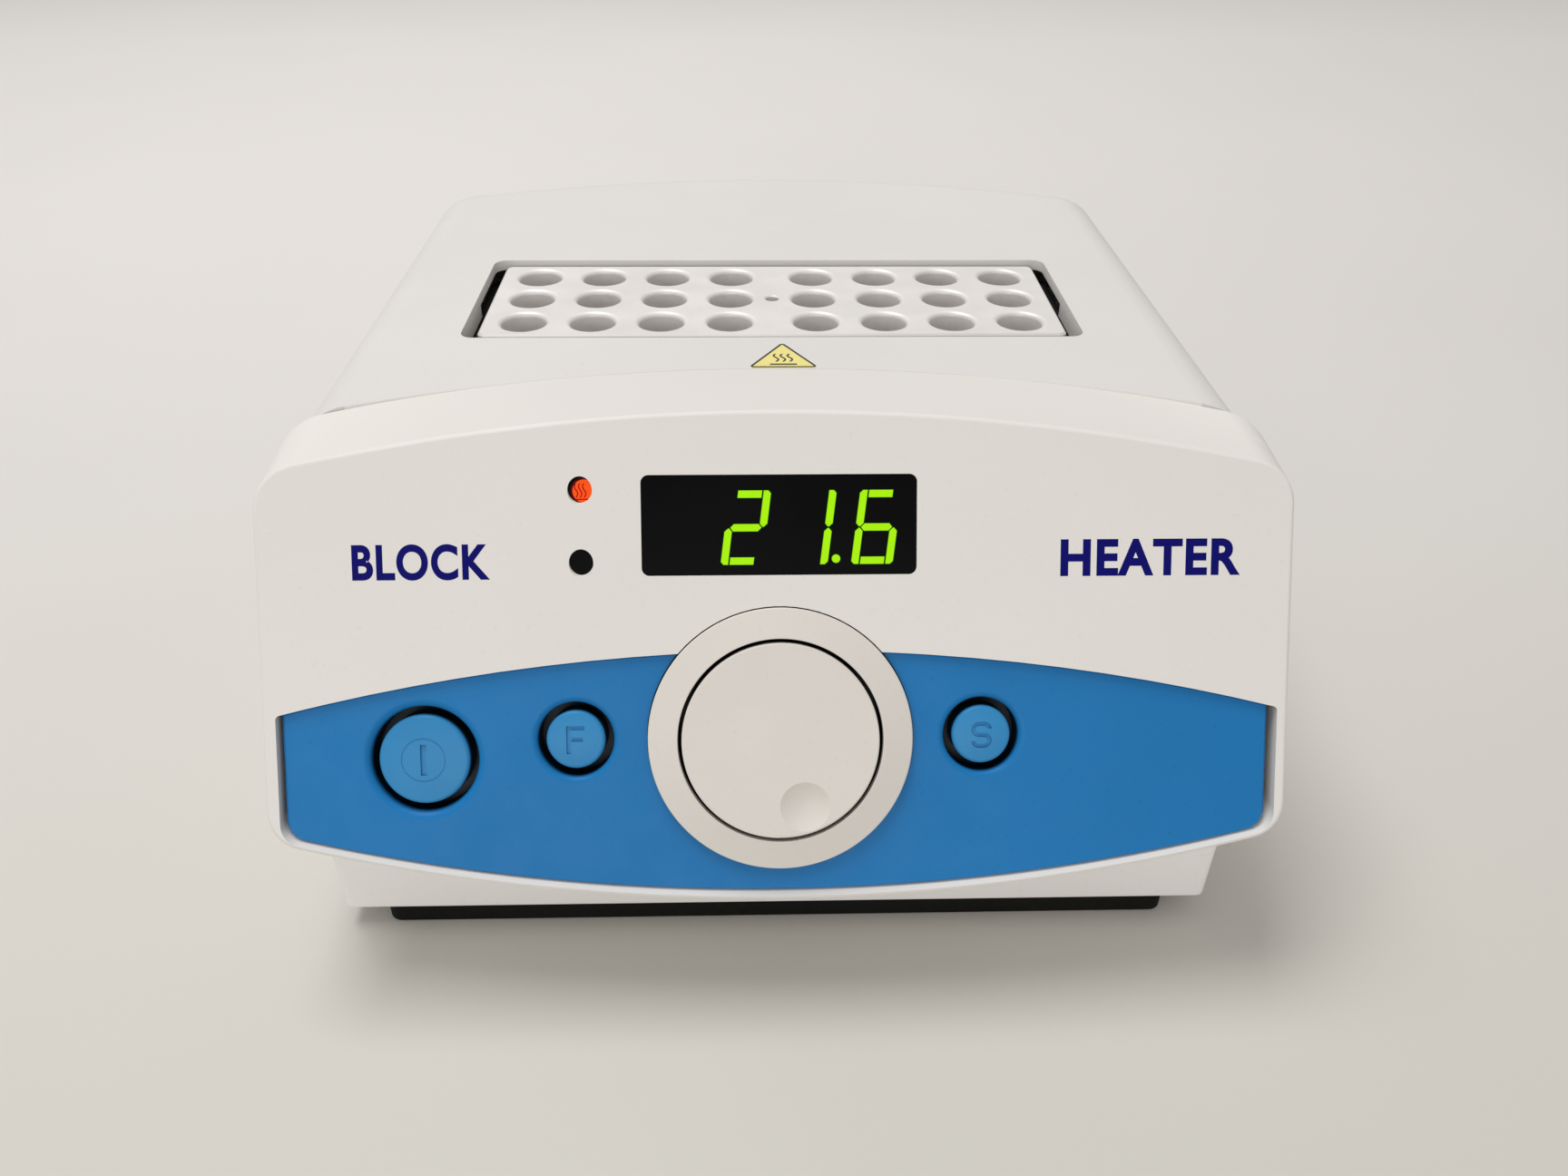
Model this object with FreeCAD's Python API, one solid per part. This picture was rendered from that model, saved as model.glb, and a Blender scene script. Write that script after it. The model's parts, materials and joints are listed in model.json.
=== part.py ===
import FreeCAD, Part
import math
import os
from FreeCAD import Placement, Rotation, Vector

# Dry block heater. Millimetres, +Z up, front towards -Y, origin on the bench under the middle of the case.

# ---------------------------------------------------------------- case
TOP_Z = 107.5            # flat top of the cover
BASE_Z = 5.0             # underside of the base tray
SEAM_Z = 46.0            # joint between base tray and top cover
CASE_HALF_TOP = 96.5     # half width at the top
CASE_HALF_BASE = 95.7    # half width at the bottom, for mould draft
CASE_REAR_Y = 111.3      # furthest point of the bowed rear wall
REAR_RADIUS = 225.0      # bow of the rear wall, in plan
CASE_FRONT_Y = -91.5     # flat front of the base tray
CASE_CORNER_R = 12.0     # rear corners, in plan
CASE_FRONT_R = 2.0       # front corners, in plan
CASE_EDGE_R = 10.0       # rounding along the top sides and rear
CASE_BOTTOM_R = 0.8
WALL = 2.5
GAP = 0.2                # joint lines between mouldings
TOUCH = 0.3              # clearance of curved faces

# ---------------------------------------------------------------- sloping face
FACE_TILT = 60.8         # turn about X that carries +Z onto the face's outward normal
FACE_Y, FACE_Z = -75.5, 93.9   # centre of the display, on the face
FACE_HALF = 99.9
FACE_TOP, FACE_TOP_R = 21.7, 435.0
FACE_BOTTOM, FACE_BOTTOM_R = -74.7, 400.0
FACE_CORNER_TOP, FACE_CORNER_BOTTOM = 9.0, 7.5
FACE_EDGE_R = 0.9
CHEEK_INNER = 96.9       # the face moulding's sides lap over the case from here
JOINT_APEX_Y = -34.4     # joint line between face moulding and cover, an arc in plan
JOINT_RADIUS = 225.0
LOFT_REAR_Y = -33.0      # section that the face moulding is lofted to, just behind the joint
SHOULDER_X = 86.5        # the brow turns down over the cheeks from here
LUG_X, LUG_Z = 46.0, 38.0      # lugs that screw the face moulding to the base

# ---------------------------------------------------------------- control panel
PANEL_TOP, PANEL_TOP_R = -24.3, 400.0
PANEL_BOTTOM, PANEL_BOTTOM_R = -73.3, 400.0
PANEL_LEFT, PANEL_RIGHT = -97.3, 97.7      # ends of the opening
PANEL_GAP = 0.25         # round the panel; wider at its top and ends
PANEL_GAP_TOP, PANEL_GAP_LEFT, PANEL_GAP_RIGHT = 0.45, 0.9, 1.5
PANEL_RECESS = 1.0
PANEL_THICK = 2.5
PANEL_CORNER = 4.5
PANEL_EDGE = 0.5         # bevel round the panel's front

RING_V = -41.7           # dial centre, down the face from the display
RING_R = 25.8
RING_GAP = 0.25
RING_PROUD, RING_CROWN = 0.6, 2.0   # height of the ring at its rim and at the dial
DIAL_WELL_R = 19.95
DIAL_FLOOR = -8.0
KNOB_R = 19.15
KNOB_FACE = 2.4
KNOB_SKIRT = -6.6
KNOB_WALL = 1.8
DIMPLE_R, DIMPLE_DEPTH, DIMPLE_OFFSET, DIMPLE_ANGLE = 4.9, 1.25, 13.8, 20.0

BOARD_FRONT = -17.0      # front of the display board, behind the face
BOARD_THICK = 1.6
BOARD_POSTS = ((74.0, 6.0), (53.0, -50.0))   # x (both sides), v

# name: (x, v, cap radius, hole radius, rounding of the hole's mouth)
BUTTONS = {
    "power": (-69.4, -45.3, 8.8, 10.35, 1.8),
    "f": (-39.95, -41.7, 5.75, 7.4, 1.3),
    "s": (39.5, -41.5, 5.75, 7.4, 1.3),
}
BUTTON_TRAVEL = 0.8
SLEEVE_BACK = -7.2       # rear end of the panel's button sleeves
FLANGE_THICK = 1.2
CAP_WALL, CAP_ROOF, CAP_EDGE = 1.3, 1.4, 0.8
SWITCH_TOP = -11.8       # tip of a tact switch's plunger

WINDOW_W, WINDOW_H = 52.9, 19.3
INDICATOR_X = -38.0
INDICATOR_V = (6.8, -7.1)
INDICATOR_R = 2.35

# ---------------------------------------------------------------- tube block and heater well
BLOCK_HALF_X = 67.4
BLOCK_Y0, BLOCK_Y1 = -13.7, 30.5
BLOCK_TOP, BLOCK_BOTTOM = 106.5, 56.5
TUBE_R, TUBE_DEPTH = 5.2, 35.0
TUBE_TIP_R, TUBE_TIP = 1.0, 4.4      # cone at the bottom of each tube hole
TUBE_MOUTH_R = 1.1
TUBE_X = (10.0, 25.95, 41.85, 57.8)
TUBE_Y = (-5.9, 8.4, 22.6)
LIFT_R, LIFT_DEPTH, LIFT_CHAMFER = 1.65, 12.0, 0.3
WELL_MID_Y = 8.4
APERTURE_HALF = 70.4
APERTURE_Y0, APERTURE_Y1 = -17.5, 32.0
WELL_IN_X, WELL_IN_Y = 67.9, 22.6
WELL_WALL = 4.0
WELL_FLOOR = 8.0
WELL_TOP = 99.0
GASKET_TOP = 101.5
INSULATION = 6.5
INSULATION_BOTTOM = 41.5
INSULATION_TOP = 96.5
MAT_THICK, CLAMP_THICK = 1.5, 1.6
CUTOUT_X = -40.0         # thermal cut-out, under the clamp plate
SENSOR_X, SENSOR_Z = 12.0, 52.5
BRACKET_X, BRACKET_Y, BRACKET_LEG = 71.5, (-4.0, 21.0), 77.5
BRACKET_THICK = 1.5

# ---------------------------------------------------------------- base and rear
POST_X, POST_Y = 84.0, (-38.0, 86.0)
POST_R, POST_BORE = 4.5, 2.0
POST_RECESS = 12.0       # depth of the screw wells under the base
FLOOR_Z = BASE_Z + WALL
PLATE_HALF, PLATE_Y0, PLATE_Y1 = 87.0, -91.0, 92.0   # folded bottom plate
PLATE_Z, PLATE_SHEET, PLATE_R = 0.4, 1.2, 3.0
FOOT_X, FOOT_Y, FOOT_R = 66.0, (-78.0, 75.0), 7.0
FOOT_TOP = BASE_Z - PLATE_SHEET
FOOT_RECESS = 2.6
FLOOR_VENT_X, FLOOR_VENT_Y, FLOOR_VENTS, FLOOR_VENT_PITCH = 34.0, -70.0, 7, 6.5
PCB_Z = 13.5
PCB_TOP = PCB_Z + BOARD_THICK
PCB_POST_X, PCB_POST_Y = 57.0, (-36.0, 44.0)
TERMINAL_X, TERMINALS, TERMINAL_PITCH = 17.5, 5, 7.0

INLET_PLATE_Y = 106.0    # outer face of the flat pocket in the rear wall
INLET_Z = 25.0
INLET_SCREW_X = 20.0
INLET_FLANGE = 2.4
SOCKET_DEPTH, SOCKET_Z = 17.5, INLET_Z + 6.2
DRAWER_Z = INLET_Z - 9.8
FUSE_X = 5.6
PIN_PLACES = ((-7.0, -2.0), (0.0, 2.0), (7.0, -2.0))   # x, height from the socket's middle


# ================================================================ helpers
def on_face(x=0.0, v=0.0, w=0.0):
    """Placement of local X across, Y up the slope and Z out of the sloping face."""
    tilt = Rotation(Vector(1, 0, 0), FACE_TILT)
    return Placement(Vector(0, FACE_Y, FACE_Z) + tilt.multVec(Vector(x, v, w)), tilt)


def placed(shape, placement):
    copy = shape.copy()
    copy.Placement = placement.multiply(copy.Placement)
    return copy


def box(x0, x1, y0, y1, z0, z1):
    return Part.makeBox(x1 - x0, y1 - y0, z1 - z0, Vector(x0, y0, z0))


def rod(radius, start, end):
    a, b = Vector(*start), Vector(*end)
    return Part.makeCylinder(radius, (b - a).Length, a, b - a)


def fuse(shapes):
    shapes = list(shapes)
    whole = shapes[0]
    if len(shapes) > 1:
        whole = shapes[0].fuse(shapes[1:])
    return whole.removeSplitter()


def cut(shape, *tools):
    for tool in tools:
        shape = shape.cut(tool)
    return shape


def group(solids):
    return Part.makeCompound([s for shape in solids for s in shape.Solids])


def corner(side, r, edge, edge_r, up):
    """Fillet between a vertical side and a crowned (or, with no radius, straight) edge, bowed outwards."""
    sign = 1.0 if up else -1.0
    s = 1.0 if side > 0 else -1.0
    cx = side - s * r
    if edge_r is None:
        cy = edge - sign * r
        touch = (cx, edge)
    else:
        mid = edge - sign * edge_r
        cy = mid + sign * math.sqrt((edge_r - r) ** 2 - cx ** 2)
        k = edge_r / (edge_r - r)
        touch = (cx * k, mid + (cy - mid) * k)
    bx, by = (touch[0] - cx) / r + s, (touch[1] - cy) / r
    n = math.hypot(bx, by)
    middle = (cx + r * bx / n, cy + r * by / n)
    return touch, middle, (side, cy)


def outline(left, right, top, top_r, bottom, bottom_r, r_top, r_bottom):
    """Closed wire in XY: two upright sides, crowned top and bottom, four rounded corners."""
    def vec(p):
        return Vector(p[0], p[1], 0)

    tr = corner(right, r_top, top, top_r, True)
    tl = corner(left, r_top, top, top_r, True)
    br = corner(right, r_bottom, bottom, bottom_r, False)
    bl = corner(left, r_bottom, bottom, bottom_r, False)

    def span(a, b, apex, radius):
        if radius is None:
            return Part.LineSegment(vec(a), vec(b)).toShape()
        return Part.Arc(vec(a), Vector(0, apex, 0), vec(b)).toShape()

    edges = [
        span(tl[0], tr[0], top, top_r),
        Part.Arc(vec(tr[0]), vec(tr[1]), vec(tr[2])).toShape(),
        Part.LineSegment(vec(tr[2]), vec(br[2])).toShape(),
        Part.Arc(vec(br[2]), vec(br[1]), vec(br[0])).toShape(),
        span(br[0], bl[0], bottom, bottom_r),
        Part.Arc(vec(bl[0]), vec(bl[1]), vec(bl[2])).toShape(),
        Part.LineSegment(vec(bl[2]), vec(tl[2])).toShape(),
        Part.Arc(vec(tl[2]), vec(tl[1]), vec(tl[0])).toShape(),
    ]
    return Part.Wire(edges)


def round_plate(w, h, r, z0, z1, x=0.0, y=0.0):
    """Plate in XY, centred on x, y, with rounded corners."""
    wire = outline(-w / 2, w / 2, h / 2, None, -h / 2, None, r, r)
    plate = Part.Face(wire).extrude(Vector(0, 0, z1 - z0))
    plate.translate(Vector(x, y, z0))
    return plate


def circles(shape, radius=None):
    """Circular edges of a shape, of one radius if given."""
    found = []
    for edge in shape.Edges:
        if edge.Degenerated or edge.Length < 1e-6:
            continue
        curve = edge.Curve
        if curve.TypeId == "Part::GeomCircle" and (radius is None or abs(curve.Radius - radius) < 1e-6):
            found.append(edge)
    return found


def screw(head, along, head_r, head_h, shank_r, length):
    """Cross-head screw: `head` is the point under the head, `along` the way the shank runs."""
    shape = Part.makeCylinder(head_r, head_h, Vector(0, 0, -head_h))
    shape = shape.makeFillet(head_h * 0.3, [min(circles(shape), key=lambda e: e.CenterOfMass.z)])
    shape = shape.fuse(Part.makeCylinder(shank_r, length))
    reach, half = head_r * 0.55, head_r * 0.14
    top, bottom = -head_h, -head_h * 0.45
    shape = cut(shape, box(-reach, reach, -half, half, top, bottom), box(-half, half, -reach, reach, top, bottom))
    return placed(shape, Placement(Vector(*head), Rotation(Vector(0, 0, 1), Vector(*along))))


def lead(points, radius):
    """Round lead along straight runs joined by tangent arcs."""
    pts = [Vector(*p) for p in points]
    edges, last = [], pts[0]
    for i in range(1, len(pts) - 1):
        a, b = (pts[i - 1] - pts[i]), (pts[i + 1] - pts[i])
        half = 0.45 * min(a.Length, b.Length)
        a.normalize()
        b.normalize()
        start, end = pts[i] + a * half, pts[i] + b * half
        bend = math.pi - a.getAngle(b)
        r = half / math.tan(bend / 2)
        inward = (a + b).normalize()
        middle = pts[i] + inward * (r / math.cos(bend / 2) - r)
        edges.append(Part.LineSegment(last, start).toShape())
        edges.append(Part.Arc(start, middle, end).toShape())
        last = end
    edges.append(Part.LineSegment(last, pts[-1]).toShape())
    path = Part.Wire(edges)
    profile = Part.Wire([Part.Circle(pts[0], pts[1] - pts[0], radius).toShape()])
    return path.makePipeShell([profile], True, True)


# ================================================================ case mouldings
def case_solid(inset=0.0, z0=BASE_Z, z1=TOP_Z, rounded=True):
    """Outer form of the cover (rounded) or base, or, with an inset, the hollow inside it."""
    front_r = CASE_CORNER_R if rounded else CASE_FRONT_R

    def half_at(z):
        k = (z - BASE_Z) / (TOP_Z - BASE_Z)
        return CASE_HALF_BASE + k * (CASE_HALF_TOP - CASE_HALF_BASE) - inset

    wires = []
    for z in (z0, z1):
        half = half_at(z)
        wire = outline(-half, half, CASE_REAR_Y - inset, REAR_RADIUS - inset, CASE_FRONT_Y + inset, None,
                       CASE_CORNER_R - inset, max(front_r - inset, 0.5))
        wire.translate(Vector(0, 0, z))
        wires.append(wire)
    solid = Part.makeLoft(wires, True, True)
    if rounded:
        solid = solid.makeFillet(CASE_EDGE_R - inset, [e for e in solid.Edges if e.BoundBox.ZMin > z1 - 0.01])
    return solid


def behind_joint(gap, half=150.0, z0=-10.0, z1=150.0):
    """Everything behind the plan arc where the brow meets the cover, set back by a gap."""
    centre = Vector(0, JOINT_APEX_Y + gap - JOINT_RADIUS, z0)
    disc = Part.makeCylinder(JOINT_RADIUS, z1 - z0, centre)
    slab = box(-half, half, JOINT_APEX_Y - 60.0, 160.0, z0, z1)
    return slab.cut(disc)


def top_cover():
    outer = case_solid()
    inner = case_solid(WALL, BASE_Z, TOP_Z - WALL)
    shell = outer.cut(inner)
    shell = shell.common(box(-120, 120, -120, 130, SEAM_Z, 130))
    roof = shell.common(behind_joint(GAP))
    tongues = shell.common(fuse([box(88, 120, -64, 0, SEAM_Z, 88), box(-120, -88, -64, 0, SEAM_Z, 88)]))
    cover = fuse([roof, tongues])
    aperture = round_plate(2 * APERTURE_HALF, APERTURE_Y1 - APERTURE_Y0, 3.0, 90, 120,
                           0, (APERTURE_Y0 + APERTURE_Y1) / 2)
    cover = cover.cut(aperture)
    for s in (1, -1):
        skirt = box(APERTURE_HALF, APERTURE_HALF + 1.5, APERTURE_Y0 + 3, 8.0, GASKET_TOP + 0.5, TOP_Z - 1)
        if s < 0:
            skirt = skirt.mirror(Vector(0, 0, 0), Vector(1, 0, 0))
        cover = cover.fuse(skirt)
        for y in POST_Y:
            post = rod(POST_R, (s * POST_X, y, SEAM_Z), (s * POST_X, y, TOP_Z - 1.0))
            bore = rod(POST_BORE, (s * POST_X, y, SEAM_Z - 1), (s * POST_X, y, SEAM_Z + 16))
            cover = cover.fuse(post).cut(bore)
    return cover.removeSplitter()


def vent_slots(x_mid, count, pitch, width, tall, z_mid):
    slots = []
    for i in range(count):
        x = x_mid + (i - (count - 1) / 2) * pitch
        slot = round_plate(width, tall, width * 0.49, 0, 60)
        slot.Placement = Placement(Vector(x, 125, z_mid), Rotation(Vector(1, 0, 0), 90))
        slots.append(slot)
    return slots


def floor_vents(long, wide):
    """Two columns of air slots through the floor."""
    return [round_plate(long, wide, wide * 0.48, 0, 20, s * FLOOR_VENT_X, FLOOR_VENT_Y + FLOOR_VENT_PITCH * i)
            for s in (1, -1) for i in range(FLOOR_VENTS)]


def base_tray():
    outer = case_solid(0, BASE_Z, TOP_Z, rounded=False).common(box(-120, 120, -120, 130, 0, SEAM_Z - GAP))
    bottom = [e for e in outer.Edges if e.BoundBox.ZMax < BASE_Z + 0.01]
    outer = outer.makeFillet(CASE_BOTTOM_R, bottom)
    inner = case_solid(WALL, BASE_Z, TOP_Z - WALL, rounded=False)
    inner = inner.common(box(-120, 120, -120, 130, FLOOR_Z, 60))
    tray = outer.cut(inner)
    tray = tray.fuse(box(-34, 34, INLET_PLATE_Y - WALL, INLET_PLATE_Y + 2, BASE_Z + 1, SEAM_Z - GAP))
    tray = tray.cut(box(-27, 27, INLET_PLATE_Y, 130, INLET_Z - 17, INLET_Z + 17))
    tray = tray.cut(box(-13.6, 13.6, 90, 120, INLET_Z - 15.6, INLET_Z + 15.6))
    tray = tray.cut(box(-84, 84, CASE_FRONT_Y - 5, CASE_FRONT_Y + WALL + 1, 40.0, 60))
    solids = []
    for s in (1, -1):
        for y in POST_Y:
            solids.append(rod(POST_R, (s * POST_X, y, FLOOR_Z - 1), (s * POST_X, y, SEAM_Z - GAP)))
        for y in PCB_POST_Y:
            solids.append(rod(3.5, (s * PCB_POST_X, y, FLOOR_Z - 1), (s * PCB_POST_X, y, PCB_Z)))
        for y in BRACKET_Y:
            solids.append(rod(4.0, (s * BRACKET_X, y, FLOOR_Z - 1), (s * BRACKET_X, y, FLOOR_Z + 3)))
    tray = tray.fuse(solids)
    holes = []
    for s in (1, -1):
        for y in POST_Y:
            holes.append(rod(2.2, (s * POST_X, y, 0), (s * POST_X, y, 60)))
            holes.append(rod(4.0, (s * POST_X, y, 0), (s * POST_X, y, BASE_Z + POST_RECESS)))
        for y in PCB_POST_Y:
            holes.append(rod(1.25, (s * PCB_POST_X, y, FLOOR_Z - 0.5), (s * PCB_POST_X, y, 30)))
        for y in BRACKET_Y:
            holes.append(rod(1.65, (s * BRACKET_X, y, FLOOR_Z - 1.5), (s * BRACKET_X, y, 30)))
        for y in FOOT_Y:
            holes.append(rod(1.65, (s * FOOT_X, y, 0), (s * FOOT_X, y, 30)))
        holes.append(rod(1.7, (s * INLET_SCREW_X, 90, INLET_Z), (s * INLET_SCREW_X, 120, INLET_Z)))
        holes.append(rod(1.7, (s * LUG_X, -100, LUG_Z), (s * LUG_X, -80, LUG_Z)))
        holes.extend(vent_slots(s * 55.0, 6, 6.5, 3.0, 18.0, 25.0))
    holes.extend(floor_vents(40.0, 3.0))
    return cut(tray, *holes).removeSplitter()


def bottom_plate():
    """Folded steel pan screwed under the base by the feet."""
    wide, deep, mid = 2 * PLATE_HALF, PLATE_Y1 - PLATE_Y0, (PLATE_Y0 + PLATE_Y1) / 2
    pan = round_plate(wide, deep, PLATE_R, PLATE_Z, BASE_Z, 0, mid)
    inside = round_plate(wide - 2 * PLATE_SHEET, deep - 2 * PLATE_SHEET, PLATE_R - PLATE_SHEET,
                         0, FOOT_TOP, 0, mid)
    holes = [rod(1.65, (s * FOOT_X, y, 0), (s * FOOT_X, y, 9)) for s in (1, -1) for y in FOOT_Y]
    return cut(pan, inside, *holes, *floor_vents(41.0, 3.6))


def panel_prism(grow, top=0.0, left=0.0, right=0.0):
    """Lens-shaped window of the control panel along Y, its edges moved outwards."""
    wire = outline(PANEL_LEFT - grow - left, PANEL_RIGHT + grow + right, PANEL_TOP + grow + top,
                   PANEL_TOP_R + grow + top, PANEL_BOTTOM - grow, PANEL_BOTTOM_R + grow, 1.0, PANEL_CORNER + grow)
    face = placed(Part.Face(wire), on_face())
    face.translate(Vector(0, -12, 0))
    return face.extrude(Vector(0, 40, 0))


def face_slab(w0, w1):
    """Layer between two depths, parallel to the sloping face."""
    return placed(box(-120, 120, -120, 80, w0, w1), on_face())


def fascia_outline(inset, depth):
    wire = outline(-FACE_HALF + inset, FACE_HALF - inset, FACE_TOP - inset, FACE_TOP_R - inset,
                   FACE_BOTTOM + inset, FACE_BOTTOM_R - inset, FACE_CORNER_TOP - inset * 0.8,
                   FACE_CORNER_BOTTOM - inset * 0.8)
    return placed(wire, on_face(0, 0, depth))


def brow_height(x):
    """Height of the loft's rear section that brings the ruled brow level with the cover along the joint."""
    drop = FACE_TOP_R - math.sqrt(FACE_TOP_R ** 2 - x ** 2)
    start = on_face(x, FACE_TOP - drop).Base
    joint_y = JOINT_APEX_Y - JOINT_RADIUS + math.sqrt(JOINT_RADIUS ** 2 - x ** 2)
    run = (joint_y - start.y) / (LOFT_REAR_Y - start.y)
    return start.z + (TOP_Z - start.z) / run


def fascia_rear_outline(inset, y):
    """Section just behind the joint, edge for edge like the outline of the face."""
    side, z_low = FACE_HALF - inset, FACE_Z + FACE_BOTTOM * math.sin(math.radians(FACE_TILT)) + inset
    heights = [(x, brow_height(x) - inset) for x in (0, 20, 40, 60, 75, SHOULDER_X)]
    points = [(-x, z) for x, z in reversed(heights[1:])] + heights
    (x0, z0), (x1, z1) = heights[-2:]
    slope = math.atan2(z1 - z0, x1 - x0)
    r = (side - x1) / (1 + math.sin(slope))
    cx, cz = x1 + r * math.sin(slope), z1 - r * math.cos(slope)
    half_turn = (math.pi / 2 + slope) / 2
    mid = (cx + r * math.cos(half_turn), cz + r * math.sin(half_turn))
    low = corner(side, FACE_CORNER_BOTTOM - inset * 0.8, z_low, FACE_BOTTOM_R - inset, False)

    def at(p, s=1):
        return Vector(s * p[0], y, p[1])

    brow = Part.BSplineCurve()
    brow.interpolate([at(p) for p in points])
    edges = [
        brow.toShape(),
        Part.Arc(at((x1, z1)), at(mid), at((side, cz))).toShape(),
        Part.LineSegment(at((side, cz)), at(low[2])).toShape(),
        Part.Arc(at(low[2]), at(low[1]), at(low[0])).toShape(),
        Part.Arc(at(low[0]), at((0, z_low)), at(low[0], -1)).toShape(),
        Part.Arc(at(low[0], -1), at(low[1], -1), at(low[2], -1)).toShape(),
        Part.LineSegment(at(low[2], -1), at((side, cz), -1)).toShape(),
        Part.Arc(at((side, cz), -1), at(mid, -1), at((x1, z1), -1)).toShape(),
    ]
    return Part.Wire(edges)


def fascia_shell():
    """Lofted form, hollowed, ending at the joint with the cover."""
    outer = Part.makeLoft([fascia_outline(0, 0), fascia_rear_outline(0, LOFT_REAR_Y)], True, True)
    flat = on_face().Rotation.multVec(Vector(0, 0, 1))
    face = [f for f in outer.Faces if f.normalAt(0, 0).dot(flat) > 0.999]
    outer = outer.makeFillet(FACE_EDGE_R, face[0].Edges)
    side = FACE_HALF - CHEEK_INNER
    inner = Part.makeLoft([fascia_outline(side, -WALL), fascia_rear_outline(side, LOFT_REAR_Y + 2)], True, True)
    shell = outer.cut(inner).cut(behind_joint(0))
    return shell.cut(box(-CHEEK_INNER, CHEEK_INNER, CASE_FRONT_Y - TOUCH, 50, 0, 60))


def front_fascia():
    shell = fascia_shell()
    shell = shell.cut(panel_prism(0.0))
    shell = shell.cut(placed(Part.makeCylinder(RING_R + RING_GAP, 40), on_face(0, RING_V, -20)))
    shell = shell.cut(placed(round_plate(WINDOW_W, WINDOW_H, 1.5, -10, 10), on_face()))
    for v in INDICATOR_V:
        spot = on_face(INDICATOR_X, v).Base
        shell = shell.cut(rod(INDICATOR_R, (spot.x, spot.y - 10, spot.z), (spot.x, spot.y + 10, spot.z)))
    for s in (1, -1):
        x, v = BOARD_POSTS[0]
        post = placed(rod(3.0, (s * x, v, BOARD_FRONT), (s * x, v, -1.0)), on_face())
        bore = placed(rod(1.25, (s * x, v, BOARD_FRONT - 1), (s * x, v, -6)), on_face())
        shell = shell.fuse(post).cut(bore)
        lug = box(s * LUG_X - 4.5, s * LUG_X + 4.5, -98.0, CASE_FRONT_Y - TOUCH, LUG_Z - 6.1, LUG_Z + 3.5)
        shell = shell.fuse(lug).cut(rod(1.25, (s * LUG_X, -97, LUG_Z), (s * LUG_X, -80, LUG_Z)))
    return shell.removeSplitter()


def control_panel():
    panel = panel_prism(-PANEL_GAP, PANEL_GAP - PANEL_GAP_TOP, PANEL_GAP - PANEL_GAP_LEFT,
                        PANEL_GAP - PANEL_GAP_RIGHT)
    panel = panel.common(face_slab(-PANEL_RECESS - PANEL_THICK, -PANEL_RECESS))
    front = max(panel.Faces, key=lambda f: on_face().inverse().multVec(f.CenterOfMass).z)
    panel = panel.makeChamfer(PANEL_EDGE, front.Edges)
    lip = panel_prism(2.8).common(face_slab(-WALL - 2.0, -WALL - GAP))
    lip = lip.cut(placed(box(-120, 120, -120, -31.0, -50, 50), on_face()))
    lip = lip.common(box(-90, 90, -150, 50, 0, 130))
    lip = lip.cut(placed(Part.makeCylinder(RING_R + 2.8, 40), on_face(0, RING_V, -20)))
    panel = fuse([panel, lip])
    panel = panel.cut(placed(Part.makeCylinder(RING_R + RING_GAP, 40), on_face(0, RING_V, -20)))
    for x, v, cap_r, hole_r, mouth_r in BUTTONS.values():
        sleeve = placed(Part.makeCylinder(hole_r + 1.2, 6.0), on_face(x, v, SLEEVE_BACK))
        bore = placed(Part.makeCylinder(hole_r, 30), on_face(x, v, -15))
        panel = panel.fuse(sleeve.cut(face_slab(-PANEL_RECESS, 10))).cut(bore)
        mouth = [e for e in circles(panel, hole_r)
                 if (e.Curve.Center - on_face(x, v, -PANEL_RECESS).Base).Length < 0.01]
        panel = panel.makeFillet(mouth_r, mouth)
    for s in (1, -1):
        x, v = BOARD_POSTS[1]
        post = placed(rod(3.0, (s * x, v, BOARD_FRONT), (s * x, v, -2.0)), on_face())
        bore = placed(rod(1.25, (s * x, v, BOARD_FRONT - 1), (s * x, v, -6)), on_face())
        panel = panel.fuse(post).cut(bore)
    return panel.removeSplitter()


# ================================================================ dial
def dial_bezel():
    profile = [
        (3.7, DIAL_FLOOR - 2.0), (28.2, DIAL_FLOOR - 2.0), (28.2, -4.0), (RING_R, -4.0),
        (RING_R, RING_PROUD), (DIAL_WELL_R, RING_CROWN), (DIAL_WELL_R, DIAL_FLOOR), (3.7, DIAL_FLOOR),
    ]
    wire = Part.makePolygon([Vector(r, 0, w) for r, w in profile + profile[:1]])
    ring = Part.Face(wire).revolve(Vector(0, 0, 0), Vector(0, 0, 1), 360)
    for r, w, size in ((RING_R, RING_PROUD, 0.3), (DIAL_WELL_R, RING_CROWN, 0.15)):
        edge = [e for e in circles(ring, r) if abs(e.Curve.Center.z - w) < 1e-6]
        ring = ring.makeFillet(size, edge)
    return placed(ring, on_face(0, RING_V)).cut(box(-60, 60, -130, 0, 0, 33.4))


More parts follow.
